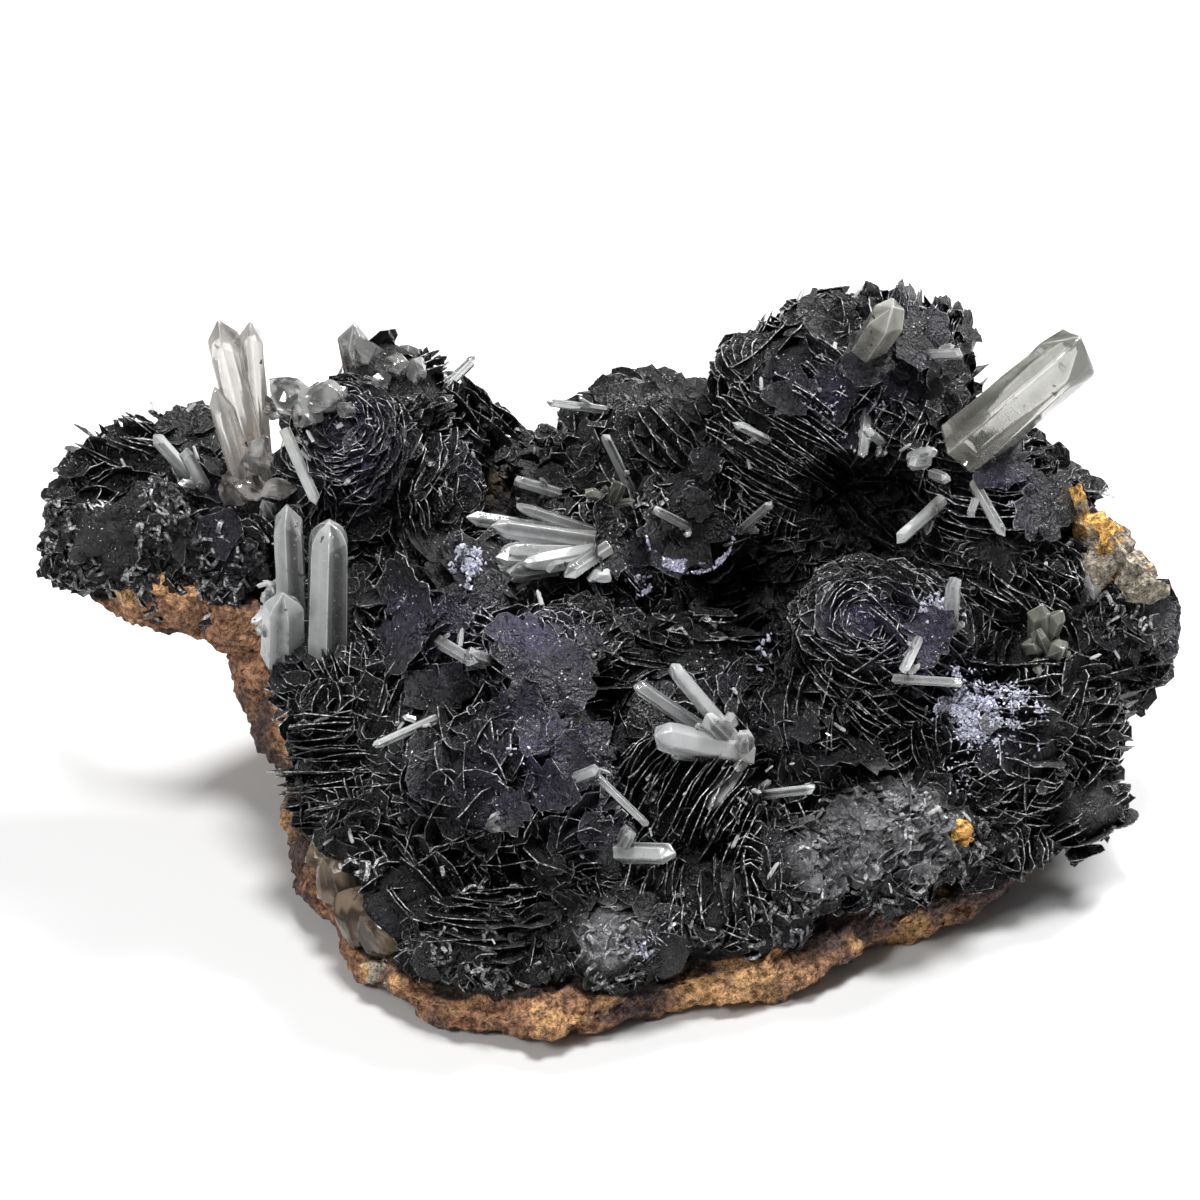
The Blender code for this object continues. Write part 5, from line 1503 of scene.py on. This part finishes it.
# small lumps of orange, cream and brown limonite on the dark mass: centre, radii and how orange
warmLumps = [
    ((49, -26.5, 20.8), (2.2, 1.6, 2), 1), ((50.5, -26, 18.8), (1.2, 1, 1), 1),
    ((67.8, 13.4, 50), (1.8, 1.8, 4.2), 0.6), ((70, 12, 46.6), (2.8, 2.4, 4.4), 0.54),
    ((73, 10.4, 44.2), (4.8, 3.4, 5.4), 0.47), ((75.4, 9.2, 41), (4.4, 3.4, 4.8), 0.42),
    ((77.4, 8.2, 39.2), (3.4, 2.8, 3.2), 0.46), ((71.2, 9.2, 41.4), (4, 2.8, 4.4), 0.42),
    ((71.6, 9.4, 47.6), (1.5, 1.4, 3), 0.7), ((-30, -37.5, 5), (4, 2, 1.5), 0.44),
    ((-27, -39.5, 4.4), (3, 1.8, 1.4), 0.5), ((-62.5, 12.8, 37.2), (3.8, 2.4, 4.4), 0),
    ((-58.5, 12, 35.4), (5.6, 3, 5), 0), ((-52, 12, 31.5), (6.6, 3.4, 5.2), 0),
    ((-66, 13.6, 33.5), (6, 3, 3.4), 0),
]
warmLook = {"cuts": 14, "depth": (0.5, 0.8), "grain": 0.3, "grainCell": 0.9, "rough": 0.35, "roughCell": 1.6}
centres, radii = lumpsOf(warmLumps)
points, faces, owner = chunks(centres, radii, warmLook["cuts"], warmLook["depth"], np.random.default_rng(72))
rise = warmLook["grain"] * grainNoise(points, warmLook["grainCell"] * mm, 70)
rise += warmLook["rough"] * roughNoise(points, warmLook["roughCell"] * mm, 2, 71)
points += unit(points - centres[owner]) * (rise * mm)[:, None]
warm = column(warmLumps, 2)[owner]
piece("limonite_lumps", points, faces, {"stain": 0 * warm, "warm": warm}, brownRock, 30, [], "limonite_rock")
print("rock made")


# Floor, light and camera

stageLook = {"floor": (0.66, 0.66, 0.66), "floorSize": 16, "world": 0.15}
bpy.ops.mesh.primitive_plane_add(size=stageLook["floorSize"])
floor = bpy.context.object
floor.name = "pale_floor"
floorMaterial, _, _ = newMaterial("paleFloor", {"Base Color": rgba(stageLook["floor"]), "Roughness": 0.9})
floor.data.materials.append(floorMaterial)

world = bpy.data.worlds.new("paleRoom")
world.use_nodes = True
world.node_tree.nodes["Background"].inputs["Color"].default_value = (1, 1, 1, 1)
world.node_tree.nodes["Background"].inputs["Strength"].default_value = stageLook["world"]
bpy.context.scene.world = world

lights = {  # place, size and power of each soft light; all point at the middle of the specimen
    "backRight": ((0.45, 0.5, 0.75), 0.35, 16),
    "frontLeft": ((-0.5, -0.6, 0.7), 0.25, 5),
    "top": ((0.05, -0.1, 0.9), 0.25, 8),
}
middle = Vector((0, 0, 42)) * mm


def aimed(obj, place):
    # puts a light or camera there and points it at the middle of the specimen
    obj.location = place
    obj.rotation_euler = (middle - Vector(place)).to_track_quat("-Z", "Y").to_euler()


for name, (place, size, power) in lights.items():
    lamp = bpy.data.lights.new(name, "AREA")
    lamp.shape = "DISK"
    lamp.size = size
    lamp.energy = power
    aimed(placed(name, lamp), place)

cameraLook = {"distance": 0.607, "lens": 130, "clip": (0.01, 50)}
cameraData = bpy.data.cameras.new("photoCamera")
cameraData.lens = cameraLook["lens"]
cameraData.clip_start, cameraData.clip_end = cameraLook["clip"]
camera = placed("photoCamera", cameraData)
away = cameraLook["distance"]
aimed(camera, (0, -away * math.cos(viewTilt), middle.z + away * math.sin(viewTilt)))
bpy.context.scene.camera = camera
bpy.context.scene.view_settings.view_transform = "Standard"
